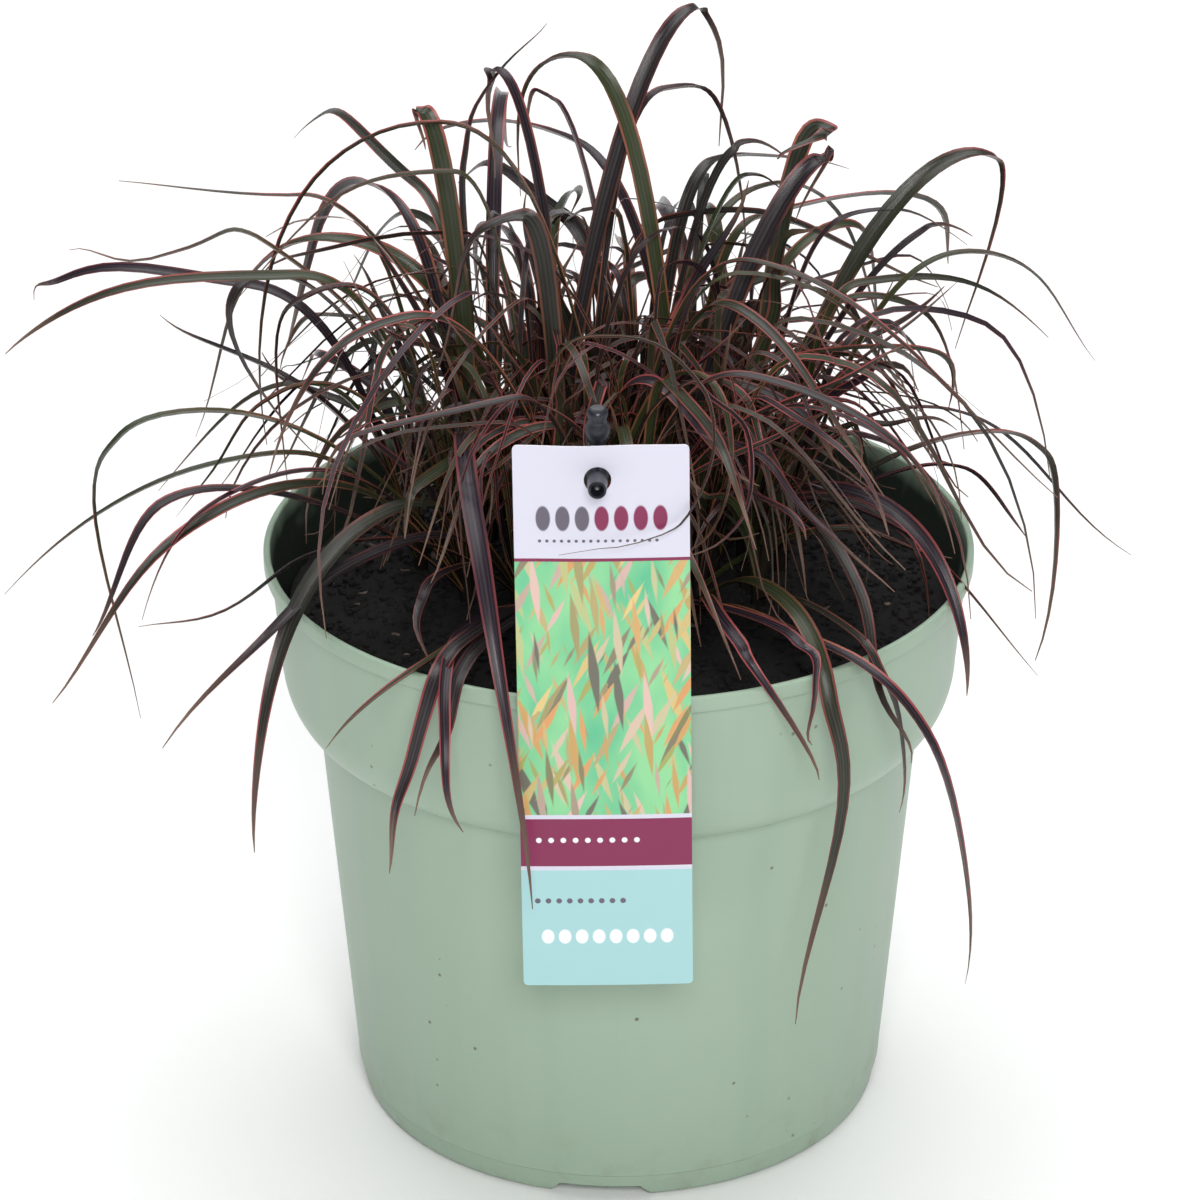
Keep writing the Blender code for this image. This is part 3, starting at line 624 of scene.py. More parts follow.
start_clean()
bpy.ops.mesh.primitive_plane_add(size=1.0)
label = bpy.context.active_object
label.scale = (LABEL_WIDTH * MM, LABEL_LENGTH * MM, 1)
label.location = (0, -LABEL_LENGTH / 2 * MM, 0)
edit(settle(label, "plant_label"))
bpy.ops.mesh.bevel(offset=LABEL_CORNER * MM, segments=6, affect="VERTICES")
bpy.ops.object.mode_set(mode="OBJECT")
start_clean()
bpy.ops.mesh.primitive_cylinder_add(
    vertices=32, radius=LABEL_HOLE_RADIUS * MM, depth=10 * MM,
    location=((PEG_TOP.x - LABEL_X) * MM, -LABEL_HOLE_DROP * MM, 0))
punch = settle(bpy.context.active_object, "punch")
apply_modifier(label, "SOLIDIFY", thickness=LABEL_THICKNESS * MM, offset=0.0)
cut_out(label, punch)
cuts = [((0, -LABEL_LENGTH * row / LABEL_ROWS * MM, 0), (0, 1, 0))
        for row in range(1, LABEL_ROWS)]
cuts += [(((column / LABEL_COLUMNS - 0.5) * LABEL_WIDTH * MM, 0, 0), (1, 0, 0))
         for column in range(1, LABEL_COLUMNS)]
edit(label)
for cut_place, cut_normal in cuts:
    bpy.ops.mesh.select_all(action="SELECT")
    bpy.ops.mesh.bisect(plane_co=cut_place, plane_no=cut_normal)
bpy.ops.object.mode_set(mode="OBJECT")
print("card:", triangles(label), "triangles")

# %% The card's map and its gentle bend
BOW, DISH, RIPPLE, CURL = 0.8, 0.5, 0.5, 0.25

card_map = label.data.uv_layers[0]
for loop in label.data.loops:
    point = label.data.vertices[loop.vertex_index].co / MM
    card_map.data[loop.index].uv = (point.x / LABEL_WIDTH + 0.5, -point.y / LABEL_LENGTH)
hang = Matrix.Translation(LABEL_TOP * MM) @ Matrix.Rotation(LABEL_LEAN, 4, "X")
stand = hang @ Matrix.Rotation(math.pi / 2, 4, "X")
hole = Vector((PEG_TOP.x - LABEL_X, -LABEL_HOLE_DROP, 0)) * MM
swung = Matrix.Translation(hole) @ Matrix.Rotation(LABEL_ROLL, 4, "Z") @ Matrix.Translation(-hole)
for vertex in label.data.vertices:
    across, down = vertex.co.x / MM / LABEL_WIDTH, -vertex.co.y / MM / LABEL_LENGTH
    wave = RIPPLE * math.sin(across * 7.0 + 0.6) * (1 - down) ** 3
    bow = BOW * math.sin(down * math.pi) - DISH * (across * 2) ** 2
    vertex.co.z += (wave + bow) * MM
    vertex.co.y += CURL * math.sin(across * 9.0) * (1 - down) ** 6 * MM
label.data.transform(stand @ swung)
label.data.update()
print("card hangs from", [round(value, 1) for value in LABEL_TOP], "mm")

# %% The card's print
PANEL_TOP, PANEL_FOOT, BAND_FOOT, LINE = 0.205, 0.672, 0.768, 0.006
WINE, LILAC, MINT = (screen_color(*color) for color in
                     ((128, 28, 76), (211, 210, 225), (163, 207, 209)))
SLATE, WHITE = screen_color(96, 90, 104), screen_color(240, 246, 248)
LEAF_SHADES = [(0.0, (150, 164, 92)), (0.2, (216, 152, 96)), (0.36, (178, 190, 128)),
               (0.5, (222, 184, 178)), (0.64, (120, 122, 84)), (0.8, (222, 196, 130)),
               (0.92, (106, 104, 92))]
# for each layer of leaf ovals: how far it is turned, how many there are and a shift
LEAF_LAYERS = [(0.35, (15, 2.2, 1), 0.0), (-0.5, (18, 2.6, 1), 4.0), (0.1, (16, 2.0, 1), 9.0)]


def leafy_panel(card, card_place):
    """A soft green ground with three layers of long leaf ovals."""
    blur = card.noise(card.mapped(card_place, Scale=(3, 6, 1)), 1.0, 2.0)
    panel = card.mix(card.between(blur, 0.35, 0.7), screen_color(142, 210, 150),
                     screen_color(90, 186, 140))
    level = card.mapped(card_place, Scale=(1, LABEL_LENGTH / LABEL_WIDTH, 1))
    for turn, size, shift in LEAF_LAYERS:
        slant = card.mapped(level, Rotation=(0, 0, turn))
        slant = card.mapped(slant, Location=(shift, shift, 0), Scale=size)
        leaves = card.add("TexVoronoi", {"Vector": slant, "Scale": 1.0, "Exponent": 1.2,
                                         "Randomness": 0.9}, distance="MINKOWSKI").outputs
        tone = card.add("SeparateXYZ", {0: leaves["Color"]}).outputs["X"]
        shades = card.ramp(tone, [(stop, screen_color(*color)) for stop, color in LEAF_SHADES])
        panel = card.mix(card.between(leaves["Distance"], 0.56, 0.44), panel, shades)
    return panel


def row_of_ovals(card, across, down, middle, count, size, squash, start, end):
    """A mask of ovals in a row, count to the card's width; squash below 1 makes them taller."""
    step = card.sum("SUBTRACT", card.sum("FRACT", card.times(across, count)), 0.5)
    drop = card.times(card.sum("SUBTRACT", down, middle),
                      count * squash * LABEL_LENGTH / LABEL_WIDTH)
    far = card.sum("SQRT", card.sum("ADD", card.times(step, step), card.times(drop, drop)))
    return card.times(card.between(far, size, size - 0.06),
                      card.sum("GREATER_THAN", across, start), card.sum("LESS_THAN", across, end))


def card_print():
    """Bands of colour down the card, with a leafy panel and rows of ovals."""
    card = Finish("printed_card", 0.28)
    card_place = card.add("UVMap", uv_map=card_map.name).outputs[0]
    across, down, _ = card.add("SeparateXYZ", {0: card_place}).outputs
    bands = card.ramp(down, [(0.0, LILAC), (PANEL_TOP - 0.009, WINE), (PANEL_TOP, LILAC),
                             (PANEL_FOOT + LINE, WINE), (BAND_FOOT, LILAC),
                             (BAND_FOOT + LINE, MINT)], interpolation="CONSTANT")
    inside = card.times(card.sum("GREATER_THAN", down, PANEL_TOP),
                        card.sum("LESS_THAN", down, PANEL_FOOT))
    paint = card.mix(inside, bands, leafy_panel(card, card_place))
    two_colors = card.mix(card.sum("GREATER_THAN", across, 0.43), SLATE, WINE)
    # for each row: place down the card, count, size, squash, start, end and colour
    for *row, color in ((0.128, 9, 0.4, 0.55, 0.11, 0.89, two_colors),
                        (0.168, 24, 0.26, 1.0, 0.125, 0.835, SLATE),
                        (0.72, 14, 0.26, 1.0, 0.07, 0.71, WHITE),
                        (0.836, 16, 0.3, 1.0, 0.0625, 0.625, SLATE),
                        (0.905, 10, 0.4, 0.8, 0.1, 0.9, WHITE)):
        paint = card.mix(row_of_ovals(card, across, down, *row), paint, color)
    card.feed("Base Color", paint)
    card.relief(card.noise(card_place, 40.0), 0.05, 0.0002)
    return card.material


def plain_card():
    """The unprinted back and edges of the card."""
    card = Finish("plain_card", 0.4)
    card.feed("Base Color", card.mix(card.noise(card.place(), 60.0), screen_color(232, 230, 238),
                                     screen_color(240, 239, 245)))
    return card.material


dress(label, card_print(), "label_card", "label", angle=35)
label.data.materials.append(plain_card())
for face in label.data.polygons:
    face.material_index = 0 if face.normal.y < -0.8 else 1
print("card printed")

# %% [markdown]
# The peg is one moulding in a very dark blue-grey plastic: a long stake, a waisted barrel
# for a head, and a hollow pin that goes through the card's hole. The stake and the head are
# turned in one go. The pin is turned on its own, with its hollow end, and joined to the
# stake.

# %% The peg
PEG_LENGTH, PEG_TIP_LENGTH = 165.0, 10.0
PEG_RADIUS, PEG_HEAD_RADIUS = 2.4, 3.7
PIN_LENGTH = 16.5
PIN_END_RADIUS, PIN_RADIUS = 3.45, 2.6

head = [(1.2, -0.5), (2.3, 0.0), (2.9, -0.5), (3.1, -1.6), (2.7, -3.2), (2.8, -4.2),
        (PEG_HEAD_RADIUS, -5.4), (PEG_HEAD_RADIUS, -8.0), (3.2, -9.6), (PEG_RADIUS, -11.0)]
stake = [(PEG_RADIUS, PEG_TIP_LENGTH - PEG_LENGTH), (0.7, -PEG_LENGTH + 0.5), (0.3, -PEG_LENGTH)]
peg = turn_form("plant_peg", head + stake, 32)
peg.data.transform(Matrix.Translation(PEG_TOP * MM) @ Matrix.Rotation(PEG_LEAN, 4, "X"))
half = PIN_LENGTH / 2
pin = turn_form("peg_pin", [
    (0.8, half - 5), (1.5, half - 4.6), (PIN_RADIUS - 0.7, half - 0.3),
    (PIN_RADIUS - 0.35, half), (PIN_RADIUS, half - 0.3), (PIN_RADIUS + 0.15, half - 3),
    (PIN_END_RADIUS - 0.3, -half + 4.0), (PIN_END_RADIUS, -half + 3.4),
    (PIN_END_RADIUS, -half + 0.4), (PIN_END_RADIUS - 0.4, -half)], 32)
hole_place = hang @ (Vector((PEG_TOP.x - LABEL_X, 0, -LABEL_HOLE_DROP)) * MM)
pin_middle = Matrix.Translation(hole_place - Vector((0, MM, 0)))
pin.data.transform(pin_middle @ Matrix.Rotation(math.pi / 2 + LABEL_LEAN, 4, "X"))
take(peg)
pin.select_set(True)
bpy.ops.object.join()
print("peg:", triangles(peg), "triangles")

# %% The peg's plastic
def peg_plastic():
    """Dark blue-grey plastic with a soft shine and faint scuffs."""
    dark = Finish("dark_plastic", 0.32)
    place = dark.place()
    cloud = dark.noise(place, 180.0, 4.0)
    dark.feed("Base Color", dark.mix(cloud, screen_color(22, 24, 31), screen_color(38, 41, 52)))
    dark.relief(dark.noise(place, 900.0), 0.15, 0.0002)
    return dark.material


dress(peg, peg_plastic(), "peg_plastic", "label_peg", angle=40)
print("peg finished")

# %% [markdown]
# A sedge leaf is a long narrow ribbon with a groove along its middle, a keel below, and thin
# margins. In this plant the face is bronze with a cool violet sheen, the underside is olive,
# and the margins run from orange near the foot to salmon red further up. Old tips dry to a
# pale brown, and the lowest part is darkened with painted shade, as the core of the clump is
# shaded. The finish reads where it is from the leaf's own UV map, with U across and V along
# the leaf, and how green the leaf and how red its margin is from an attribute that each leaf
# carries.

# %% The leaf's finish
LEAF_MAP = "leaf_map"
LEAF_TONE = "leaf_tone"


def leaf_finish():
    """Bronze leaf with fine veins, coloured margins, a green foot and a dry tip."""
    leaf = Finish("bronze_leaf", 0.27)
    leaf_place = leaf.add("UVMap", uv_map=LEAF_MAP).outputs[0]
    across, along, _ = leaf.add("SeparateXYZ", {0: leaf_place}).outputs
    traits = leaf.add("Attribute", attribute_name=LEAF_TONE).outputs["Color"]
    green, flush, under = leaf.add("SeparateColor", {0: traits}).outputs
    place = leaf.place()
    cloud = leaf.noise(place, 30.0)
    # distance from the midrib, 0 in the middle and 1 at the margin
    aside = leaf.sum("ABSOLUTE", leaf.sum("SUBTRACT", leaf.times(across, 2.0), 1.0))
    bronze = leaf.mix(cloud, screen_color(22, 16, 22), screen_color(42, 31, 44))
    moss = leaf.mix(cloud, screen_color(25, 31, 19), screen_color(55, 65, 38))
    back = leaf.mix(green, screen_color(36, 25, 31), screen_color(53, 60, 38))
    paint = leaf.mix(leaf.times(under, 0.8), leaf.mix(green, bronze, moss), back)
    foot = leaf.times(leaf.between(along, 0.7, 0.15), leaf.between(green, 0.3, 0.75), 0.85)
    paint = leaf.mix(foot, paint, screen_color(64, 78, 38))
    # veins run the whole length of the leaf; the pale line on each side of the fold and the pale
    # rib are painted highlights, where the fold and the midrib catch light
    veins = leaf.noise(leaf.mapped(leaf_place, Scale=(1, 0.02, 1)), 26.0, 2.0)
    grey = leaf.add("CombineColor", {0: veins, 1: veins, 2: veins}).outputs[0]
    paint = leaf.mix(0.55, paint, grey, "OVERLAY")
    pleat_highlight = leaf.between(leaf.sum("ABSOLUTE", leaf.sum("SUBTRACT", aside, 0.45)), 0.1, 0.03)
    paint = leaf.mix(leaf.times(pleat_highlight, 0.17), paint, screen_color(104, 88, 92))
    # painted highlight along the midrib
    rib_highlight = leaf.between(aside, 0.16, 0.04)
    paint = leaf.mix(leaf.times(rib_highlight, 0.3), paint, screen_color(92, 84, 82))
    rim = leaf.mix(leaf.between(along, 0.0, 0.45), screen_color(212, 152, 100),
                   screen_color(178, 86, 84))
    broken = leaf.between(leaf.noise(place, 22.0, 2.0), 0.35, 0.6)
    margin = leaf.times(leaf.between(aside, 0.68, 0.82), flush, broken)
    paint = leaf.mix(margin, paint, rim)
    dry = leaf.between(leaf.sum("ADD", along, leaf.times(cloud, 0.12)), 0.9, 1.06)
    paint = leaf.mix(dry, paint, screen_color(118, 92, 78))
    # painted shade: the lowest part of each leaf is darkened, as the core of the clump is shaded
    painted_foot_shade = leaf.times(leaf.between(along, 0.42, 0.04), 0.5)
    leaf.feed("Base Color", leaf.mix(painted_foot_shade, paint, screen_color(24, 18, 16)))
    leaf.shader.inputs["Specular IOR Level"].default_value = 0.36
    leaf.relief(veins, 0.35, 0.0003)
    return leaf.material


bronze_leaf = leaf_finish()
print("finish:", bronze_leaf.name)

# %% [markdown]
# Where do the leaves go? The CAD model grew them by a rule, and the same rule is followed
# here with the same seeds, so every finer leaf lies where its plain solid is. Shoots stand in
# a sunflower pattern. Sixty long leaves are listed, and shorter ones are drawn at random:
# each tries courses until one is clear of the pot, the soil, the card and the leaves of the
# other shoots.

# %% The rule's numbers
TUFTS = 40
CROWN = Vector((-4.0, 8.0))
CROWN_REACH = Vector((59.0, 46.0))
GOLDEN_ANGLE = math.radians(137.508)
STEM_RADIUS, STEM_TOP_RADIUS = 2.5, 1.3
STEM_RISE, STEM_DEPTH = 20.0, 9.0
BLADES_PER_TUFT = 5
LONG_BLADES_PER_TUFT = 3
LONG_SEED, SHORT_SEED = 1000, 5000
LONG_TURN, SHORT_TURN = 50, 60
NUDGES = 150
NUDGE_START, NUDGE_STEP = 1.0, 0.08
TRIES = 120
LABEL_SCREEN = ((LABEL_X - 17, -190, 95), (LABEL_X + 27, -98, 285))
BLADE_THICKNESS = 0.85
TIP_WIDTH = 0.9
CLEARANCE = 0.35
BEND_SPACING_LENGTH = 48.0
BEND_SPACING_ANGLE = math.radians(48)
FEWEST_SEGMENTS, MOST_SEGMENTS = 5, 10
PATH_POINTS = 24

# for each long leaf: about where its foot stands, the top of its arch, its tip, how steeply
# the tip hangs in degrees (below 0 it rises all the way) and its width
LONG_BLADES = [
    ((-22, 10), (22, 45, 345), (25, 50, 300), 95, 5.5),
    ((14, 12), (-14, 33, 338), (-31, 43, 284), 92, 5.2),
    ((-20, 20), (-37, 38, 328), (-33, 34, 292), 105, 4.6),
    ((-42, 15), (-51, 35, 298), (-30, 45, 344), -75, 2.9),
    ((-40, 8), (-58, 18, 324), (-58, 21, 306), 95, 6.1),
    ((-4, 15), (14, 35, 323), (38, 42, 272), 90, 4.6),
    ((10, 20), (-20, 35, 319), (-28, 38, 303), 80, 4.1),
    ((-34, 0), (12, 45, 301), (-12, 11, 252), 135, 4.3),
    ((0, 22), (37, 34, 304), (58, 41, 292), 45, 3.8),
    ((8, 15), (38, 26, 296), (54, 30, 288), 30, 3.5),
    ((-18, -4), (-29, -5, 297), (-58, -16, 243), 50, 6.1),
    ((0, -4), (22, 14, 266), (39, 26, 297), -62, 5.8),
    ((0, 15), (-54, 14, 320), (-109, 9, 214), 98, 4.1),
    ((-30, 18), (-98, 18, 296), (-151, 18, 297), 2, 3.0),
    ((-20, 4), (-50, 3, 308), (-116, -9, 267), 40, 3.2),
    ((-46, 10), (-106, 6, 284), (-166, 4, 274), -8, 3.0),
    ((-44, -2), (-97, -10, 280), (-184, -17, 257), 58, 4.4),
    ((-44, 12), (-108, -8, 280), (-93, -5, 219), 128, 4.1),
    ((-50, -4), (-83, -15, 279), (-101, -17, 212), 90, 4.6),
    ((-46, -6), (-134, -44, 250), (-147, -49, 157), 95, 4.6),
    ((-54, -4), (-108, -16, 224), (-187, -39, 186), 45, 3.7),
    ((-52, -12), (-124, -54, 227), (-153, -72, 190), 85, 4.3),
    ((-50, -14), (-98, -40, 229), (-141, -64, 193), 75, 3.0),
    ((-46, -18), (-100, -48, 224), (-166, -93, 182), 35, 4.1),
    ((-52, -16), (-84, -40, 206), (-137, -91, 196), 8, 3.5),
    ((-44, -20), (-66, -42, 206), (-130, -98, 168), 42, 4.3),
    ((-42, -16), (-68, -38, 216), (-107, -96, 134), 92, 6.2),
    ((-30, -26), (-50, -80, 191), (-85, -122, 178), 28, 4.6),
    ((-26, -28), (-43, -84, 192), (-70, -116, 140), 5, 4.9),
    ((-30, -26), (-46, -86, 192), (-46, -118, 150), 120, 3.8),
    ((-20, -30), (-35, -82, 191), (-53, -121, 152), 60, 4.3),
    ((-30, -18), (-45, -40, 243), (-23, -129, 136), 80, 6.1),
    ((-46, -22), (-56, -50, 198), (-58, -66, 175), 85, 3.5),
    ((-8, -22), (24, -38, 260), (21, -55, 207), 140, 4.3),
    ((22, -28), (42, -62, 198), (67, -101, 84), 92, 5.2),
    ((12, -30), (42, -78, 191), (62, -99, 176), 40, 4.1),
    ((30, -24), (62, -84, 193), (103, -98, 80), 102, 6.1),
    ((20, -32), (36, -72, 191), (57, -101, 164), 55, 4.6),
    ((36, -20), (66, -80, 193), (81, -91, 141), 62, 4.1),
    ((42, 12), (69, 24, 323), (58, 18, 303), 118, 5.8),
    ((22, 0), (61, 22, 305), (54, 20, 286), 110, 6.2),
    ((32, 2), (48, 16, 262), (56, 22, 292), -65, 6.2),
    ((46, 14), (108, 38, 301), (104, 36, 240), 108, 5.5),
    ((50, 16), (124, 42, 299), (126, 41, 231), 112, 4.1),
    ((50, 8), (110, 22, 271), (154, 28, 229), 52, 3.7),
    ((48, 10), (79, 20, 262), (136, 32, 232), 45, 3.4),
    ((44, 6), (74, 11, 258), (105, 13, 220), 82, 3.2),
    ((42, 22), (95, 38, 275), (110, 44, 271), 15, 2.8),
    ((36, 18), (72, 29, 283), (109, 42, 268), 28, 3.0),
    ((52, -2), (112, 3, 226), (133, 3, 149), 104, 4.4),
    ((50, -4), (98, -1, 214), (126, -4, 188), 78, 3.4),
    ((46, 4), (88, 12, 228), (161, 18, 170), 35, 2.8),
    ((44, -8), (58, -12, 213), (119, -44, 153), 45, 3.9),
    ((36, -14), (58, -28, 208), (75, -90, 155), 100, 4.6),
    ((48, -8), (72, -18, 212), (104, -52, 160), 95, 5.5),
    ((50, -10), (64, -8, 206), (96, -18, 172), 90, 4.6),
    ((50, -6), (66, -6, 195), (100, -12, 186), 12, 4.9),
    ((40, 4), (56, 11, 238), (107, 20, 193), 48, 3.4),
    ((44, -4), (62, -6, 238), (83, -9, 220), 60, 3.8),
    ((48, 2), (80, 3, 229), (105, 3, 221), 20, 4.3),
]
print(len(LONG_BLADES), "long leaves placed by eye")

# %% Places of the shoots
def tuft_places():
    """The places of the shoots on the crown, from the middle outwards."""
    places = []
    for index in range(TUFTS):
        share = math.sqrt((index + 0.5) / TUFTS)
        angle = index * GOLDEN_ANGLE
        places.append(Vector((CROWN.x + CROWN_REACH.x * share * math.cos(angle),
                              CROWN.y + CROWN_REACH.y * share * math.sin(angle))))
    return places


def share_out_long_blades(places):
    """Give each long leaf to the shoot with room for it that is nearest to its foot."""
    taken = [[] for _ in places]
    for foot, *blade in LONG_BLADES:
        order = sorted(range(len(places)), key=lambda i: (places[i] - Vector(foot)).length)
        tuft = next(i for i in order if len(taken[i]) < LONG_BLADES_PER_TUFT)
        taken[tuft].append(tuple(blade))
    return taken


places = tuft_places()
print("shoots:", len(places))

# %% Courses of the leaves
SHORT_RULE = {"rise": (38, 122, 75), "reach": (0.15, 0.7), "width": (2.4, 5.6, 3.6),
              "rising": 0.3, "onward": 1.3, "climb": (35, 75), "beyond": (0.3, 0.9),
              "lowest": 14, "hang": (20, 100)}
# how long the handles of a leaf's curves are, as shares of its height or length
FOOT_ASIDE, FOOT_UP, CREST_BEFORE, CREST_AFTER, TIP_BEFORE = 0.28, 0.7, 0.45, 0.4, 0.38


def picked(draw, numbers):
    """A random number between the first two; a third one is where most of them lie."""
    return draw.uniform(*numbers) if len(numbers) == 2 else draw.triangular(*numbers)


def drawn_blade(place, draw, spread, rule):
    """Draw a leaf by a rule: some rise all the way, and the others arch over."""
    outward = place - CROWN
    heading = math.atan2(outward.y, outward.x) + math.radians(draw.gauss(0, spread))
    along = Vector((math.cos(heading), math.sin(heading)))
    rise = picked(draw, rule["rise"])
    reach = rise * picked(draw, rule["reach"])
    width = picked(draw, rule["width"])
    if draw.random() < rule["rising"]:
        top = place + along * reach * 0.4
        end = place + along * reach * rule["onward"]
        apex = (top.x, top.y, MOUND_HEIGHT + rise * 0.6)
        tip = (end.x, end.y, MOUND_HEIGHT + rise)
        return apex, tip, -picked(draw, rule["climb"]), width
    beyond = rise * picked(draw, rule["beyond"])
    drop = rise * draw.uniform(0.1, 0.9)
    top = place + along * reach
    end = place + along * (reach + beyond)
    apex = (top.x, top.y, MOUND_HEIGHT + rise)
    tip = (end.x, end.y, max(MOUND_HEIGHT + rise - drop, SOIL_EDGE_HEIGHT + rule["lowest"]))
    return apex, tip, picked(draw, rule["hang"]), width


def short_blade(place, draw):
    """Draw one of the shorter leaves that fill the clump."""
    spread = 80 - 30 * min(1.0, (place - CROWN).length / CROWN_REACH.x)
    return drawn_blade(place, draw, spread, SHORT_RULE)


def nudged(blade, size, draw):
    """The same leaf with its arch and tip bent a little aside."""
    apex, tip, hang, width = blade
    apex = tuple(value + draw.uniform(-size, size) for value in apex)
    tip = tuple(value + draw.uniform(-size, size) for value in tip)
    return apex, tip, hang, width


def blade_path(place, blade):
    """Closely spaced points up one arch and down to the tip, and the way across the leaf."""
    apex, tip, hang, _ = blade
    apex, tip = Vector(apex), Vector(tip)
    foot = Vector((place.x, place.y, MOUND_HEIGHT + 2.0))
    heading = (tip - foot).to_2d()
    if heading.length < 1.0:
        heading = (apex - foot).to_2d()
    along = Vector((heading.x, heading.y, 0)).normalized()
    crest = along if hang >= 0 else (tip - foot).normalized()
    climb = (apex - foot).to_2d().length
    chord = (tip - apex).length
    lean = (apex - foot) * FOOT_ASIDE
    rise = geometry.interpolate_bezier(
        foot, foot + Vector((lean.x, lean.y, (apex.z - foot.z) * FOOT_UP)),
        apex - crest * (CREST_BEFORE * min(climb, 0.7 * chord) + 2.0), apex, PATH_POINTS)
    angle = math.radians(hang)
    down = along * math.cos(angle) - Vector((0, 0, math.sin(angle)))
    fall = geometry.interpolate_bezier(apex, apex + crest * (CREST_AFTER * chord + 1.0),
                                       tip - down * (TIP_BEFORE * chord), tip, PATH_POINTS)
    return rise + fall[1:], Vector((-along.y, along.x, 0))


def spaced_points(points, count):
    """Points along a fine polyline, closer together where it bends more."""
    steps = []
    for i in range(len(points) - 1):
        step = points[i + 1] - points[i]
        before = points[i] - points[i - 1] if i else step
        bend = before.angle(step, 0.0)
        steps.append(step.length / BEND_SPACING_LENGTH + bend / BEND_SPACING_ANGLE)
    total = sum(steps)
    spaced = [points[0]]
    walked, index = 0.0, 0
    for i in range(1, count):
        target = total * i / count
        while walked + steps[index] < target:
            walked += steps[index]
            index += 1
        spaced.append(points[index].lerp(points[index + 1], (target - walked) / steps[index]))
    return spaced + [points[-1]], total


def width_at(share, width, tip_width=TIP_WIDTH):
    """A leaf is widest below its middle and tapers to a fine tip."""
    if share < 0.3:
        return width * (0.6 + 1.333 * share)
    if share < 0.6:
        return width
    taper = ((share - 0.6) / 0.4) ** 1.4
    return width + (tip_width - width) * taper


print("leaf courses ready")

# %% Test leaves for clearance
def test_blade(place, blade, turn, swell=0.0):
    """The plain three-sided leaf of the CAD model; swell makes it fatter."""
    path, side = blade_path(place, blade)
    wanted = spaced_points(path, 2)[1]
    count = min(MOST_SEGMENTS, max(FEWEST_SEGMENTS, round(wanted)))
    points, _ = spaced_points(path, count)
    corners, faces = [], []
    for i, point in enumerate(points):
        ahead = points[min(i + 1, count)] - points[max(i - 1, 0)]
        roll = Matrix.Rotation(turn * i / count, 3, ahead.normalized())
        across = roll @ side
        upper = ahead.normalized().cross(across).normalized()
        half = width_at(i / count, blade[3]) / 2 + swell
        corners += [(point + across * half + upper * swell) * MM,
                    (point - across * half + upper * swell) * MM,
                    (point - upper * (BLADE_THICKNESS + swell)) * MM]
    for low in range(0, 3 * count, 3):
        for k in range(3):
            a, b = low + k, low + (k + 1) % 3
            faces += [(a, b, b + 3), (a, b + 3, a + 3)]
    faces += [(0, 2, 1), (3 * count, 3 * count + 1, 3 * count + 2)]
    return corners, faces


def search_tree(corners, faces):
    """A search tree of some faces, with their box."""
    low = Vector([min(c[k] for c in corners) for k in range(3)])
    high = Vector([max(c[k] for c in corners) for k in range(3)])
    return BVHTree.FromPolygons(corners, faces), low, high


def node_tree(name):
    """A search tree of one CAD node."""
    mesh = frame["nodes"][name].data
    return search_tree([vertex.co.copy() for vertex in mesh.vertices],
                       [tuple(face.vertices) for face in mesh.polygons])


def stem_tree(place):
    """A search tree of the sheathed foot of one shoot."""
    shape = bmesh.new()
    height = STEM_DEPTH + STEM_RISE
    bmesh.ops.create_cone(shape, cap_ends=True, segments=5, radius1=STEM_RADIUS * MM,
                          radius2=STEM_TOP_RADIUS * MM, depth=height * MM)
    middle = MOUND_HEIGHT - STEM_DEPTH + height / 2
    bmesh.ops.translate(shape, verts=shape.verts, vec=Vector((place.x, place.y, middle)) * MM)
    entry = search_tree([vertex.co.copy() for vertex in shape.verts],
                        [tuple(vertex.index for vertex in face.verts) for face in shape.faces])
    shape.free()
    return entry


def crosses(entry, others):
    """Whether a leaf cuts through any of the others."""
    tree, low, high = entry
    for other, other_low, other_high in others:
        apart = any(low[k] > other_high[k] or high[k] < other_low[k] for k in range(3))
        if not apart and tree.overlap(other):
            return True
    return False


def label_screen():
    """The space in front of the card, which the short leaves leave free."""
    low, high = (Vector(corner) * MM for corner in LABEL_SCREEN)
    corners = [Vector((x, y, z)) for x in (low.x, high.x) for y in (low.y, high.y)
               for z in (low.z, high.z)]
    sides = [(0, 1, 3, 2), (4, 5, 7, 6), (0, 1, 5, 4), (2, 3, 7, 6), (0, 2, 6, 4), (1, 3, 7, 5)]
    return search_tree(corners, sides)


print("clearance test ready")

# %% Grow the leaves
def grow(places, still):
    """Find a clear course for every leaf; long ones first, then the short ones."""
    stems = [stem_tree(place) for place in places]
    grown = [[] for _ in places]
    trees = [[] for _ in places]

    def try_blade(tuft, blade, turn, kept_free=()):
        others = still + [*kept_free] + [stems[i] for i in range(len(places)) if i != tuft]
        others += [tree for i in range(len(places)) if i != tuft for tree in trees[i]]
        if crosses(search_tree(*test_blade(places[tuft], blade, turn, CLEARANCE)), others):
            return False
        grown[tuft].append((blade, turn))
        trees[tuft].append(search_tree(*test_blade(places[tuft], blade, turn)))
        return True

    for tuft, blades in enumerate(share_out_long_blades(places)):
        for order, blade in enumerate(blades):
            draw = random.Random(LONG_SEED + tuft * 10 + order)
            turn = math.radians(draw.uniform(-LONG_TURN, LONG_TURN))
            placed = try_blade(tuft, blade, turn)
            for attempt in range(NUDGES):
                if placed:
                    break
                size = NUDGE_START + attempt * NUDGE_STEP
                placed = try_blade(tuft, nudged(blade, size, draw), turn)
    screen = label_screen()
    for order in range(BLADES_PER_TUFT):
        for tuft, place in enumerate(places):
            if len(grown[tuft]) > order:
                continue
            draw = random.Random(SHORT_SEED + tuft * 100 + order)
            for _ in range(TRIES):
                blade = short_blade(place, draw)
                turn = math.radians(draw.uniform(-SHORT_TURN, SHORT_TURN))
                if try_blade(tuft, blade, turn, (screen,)):
                    break
    return grown


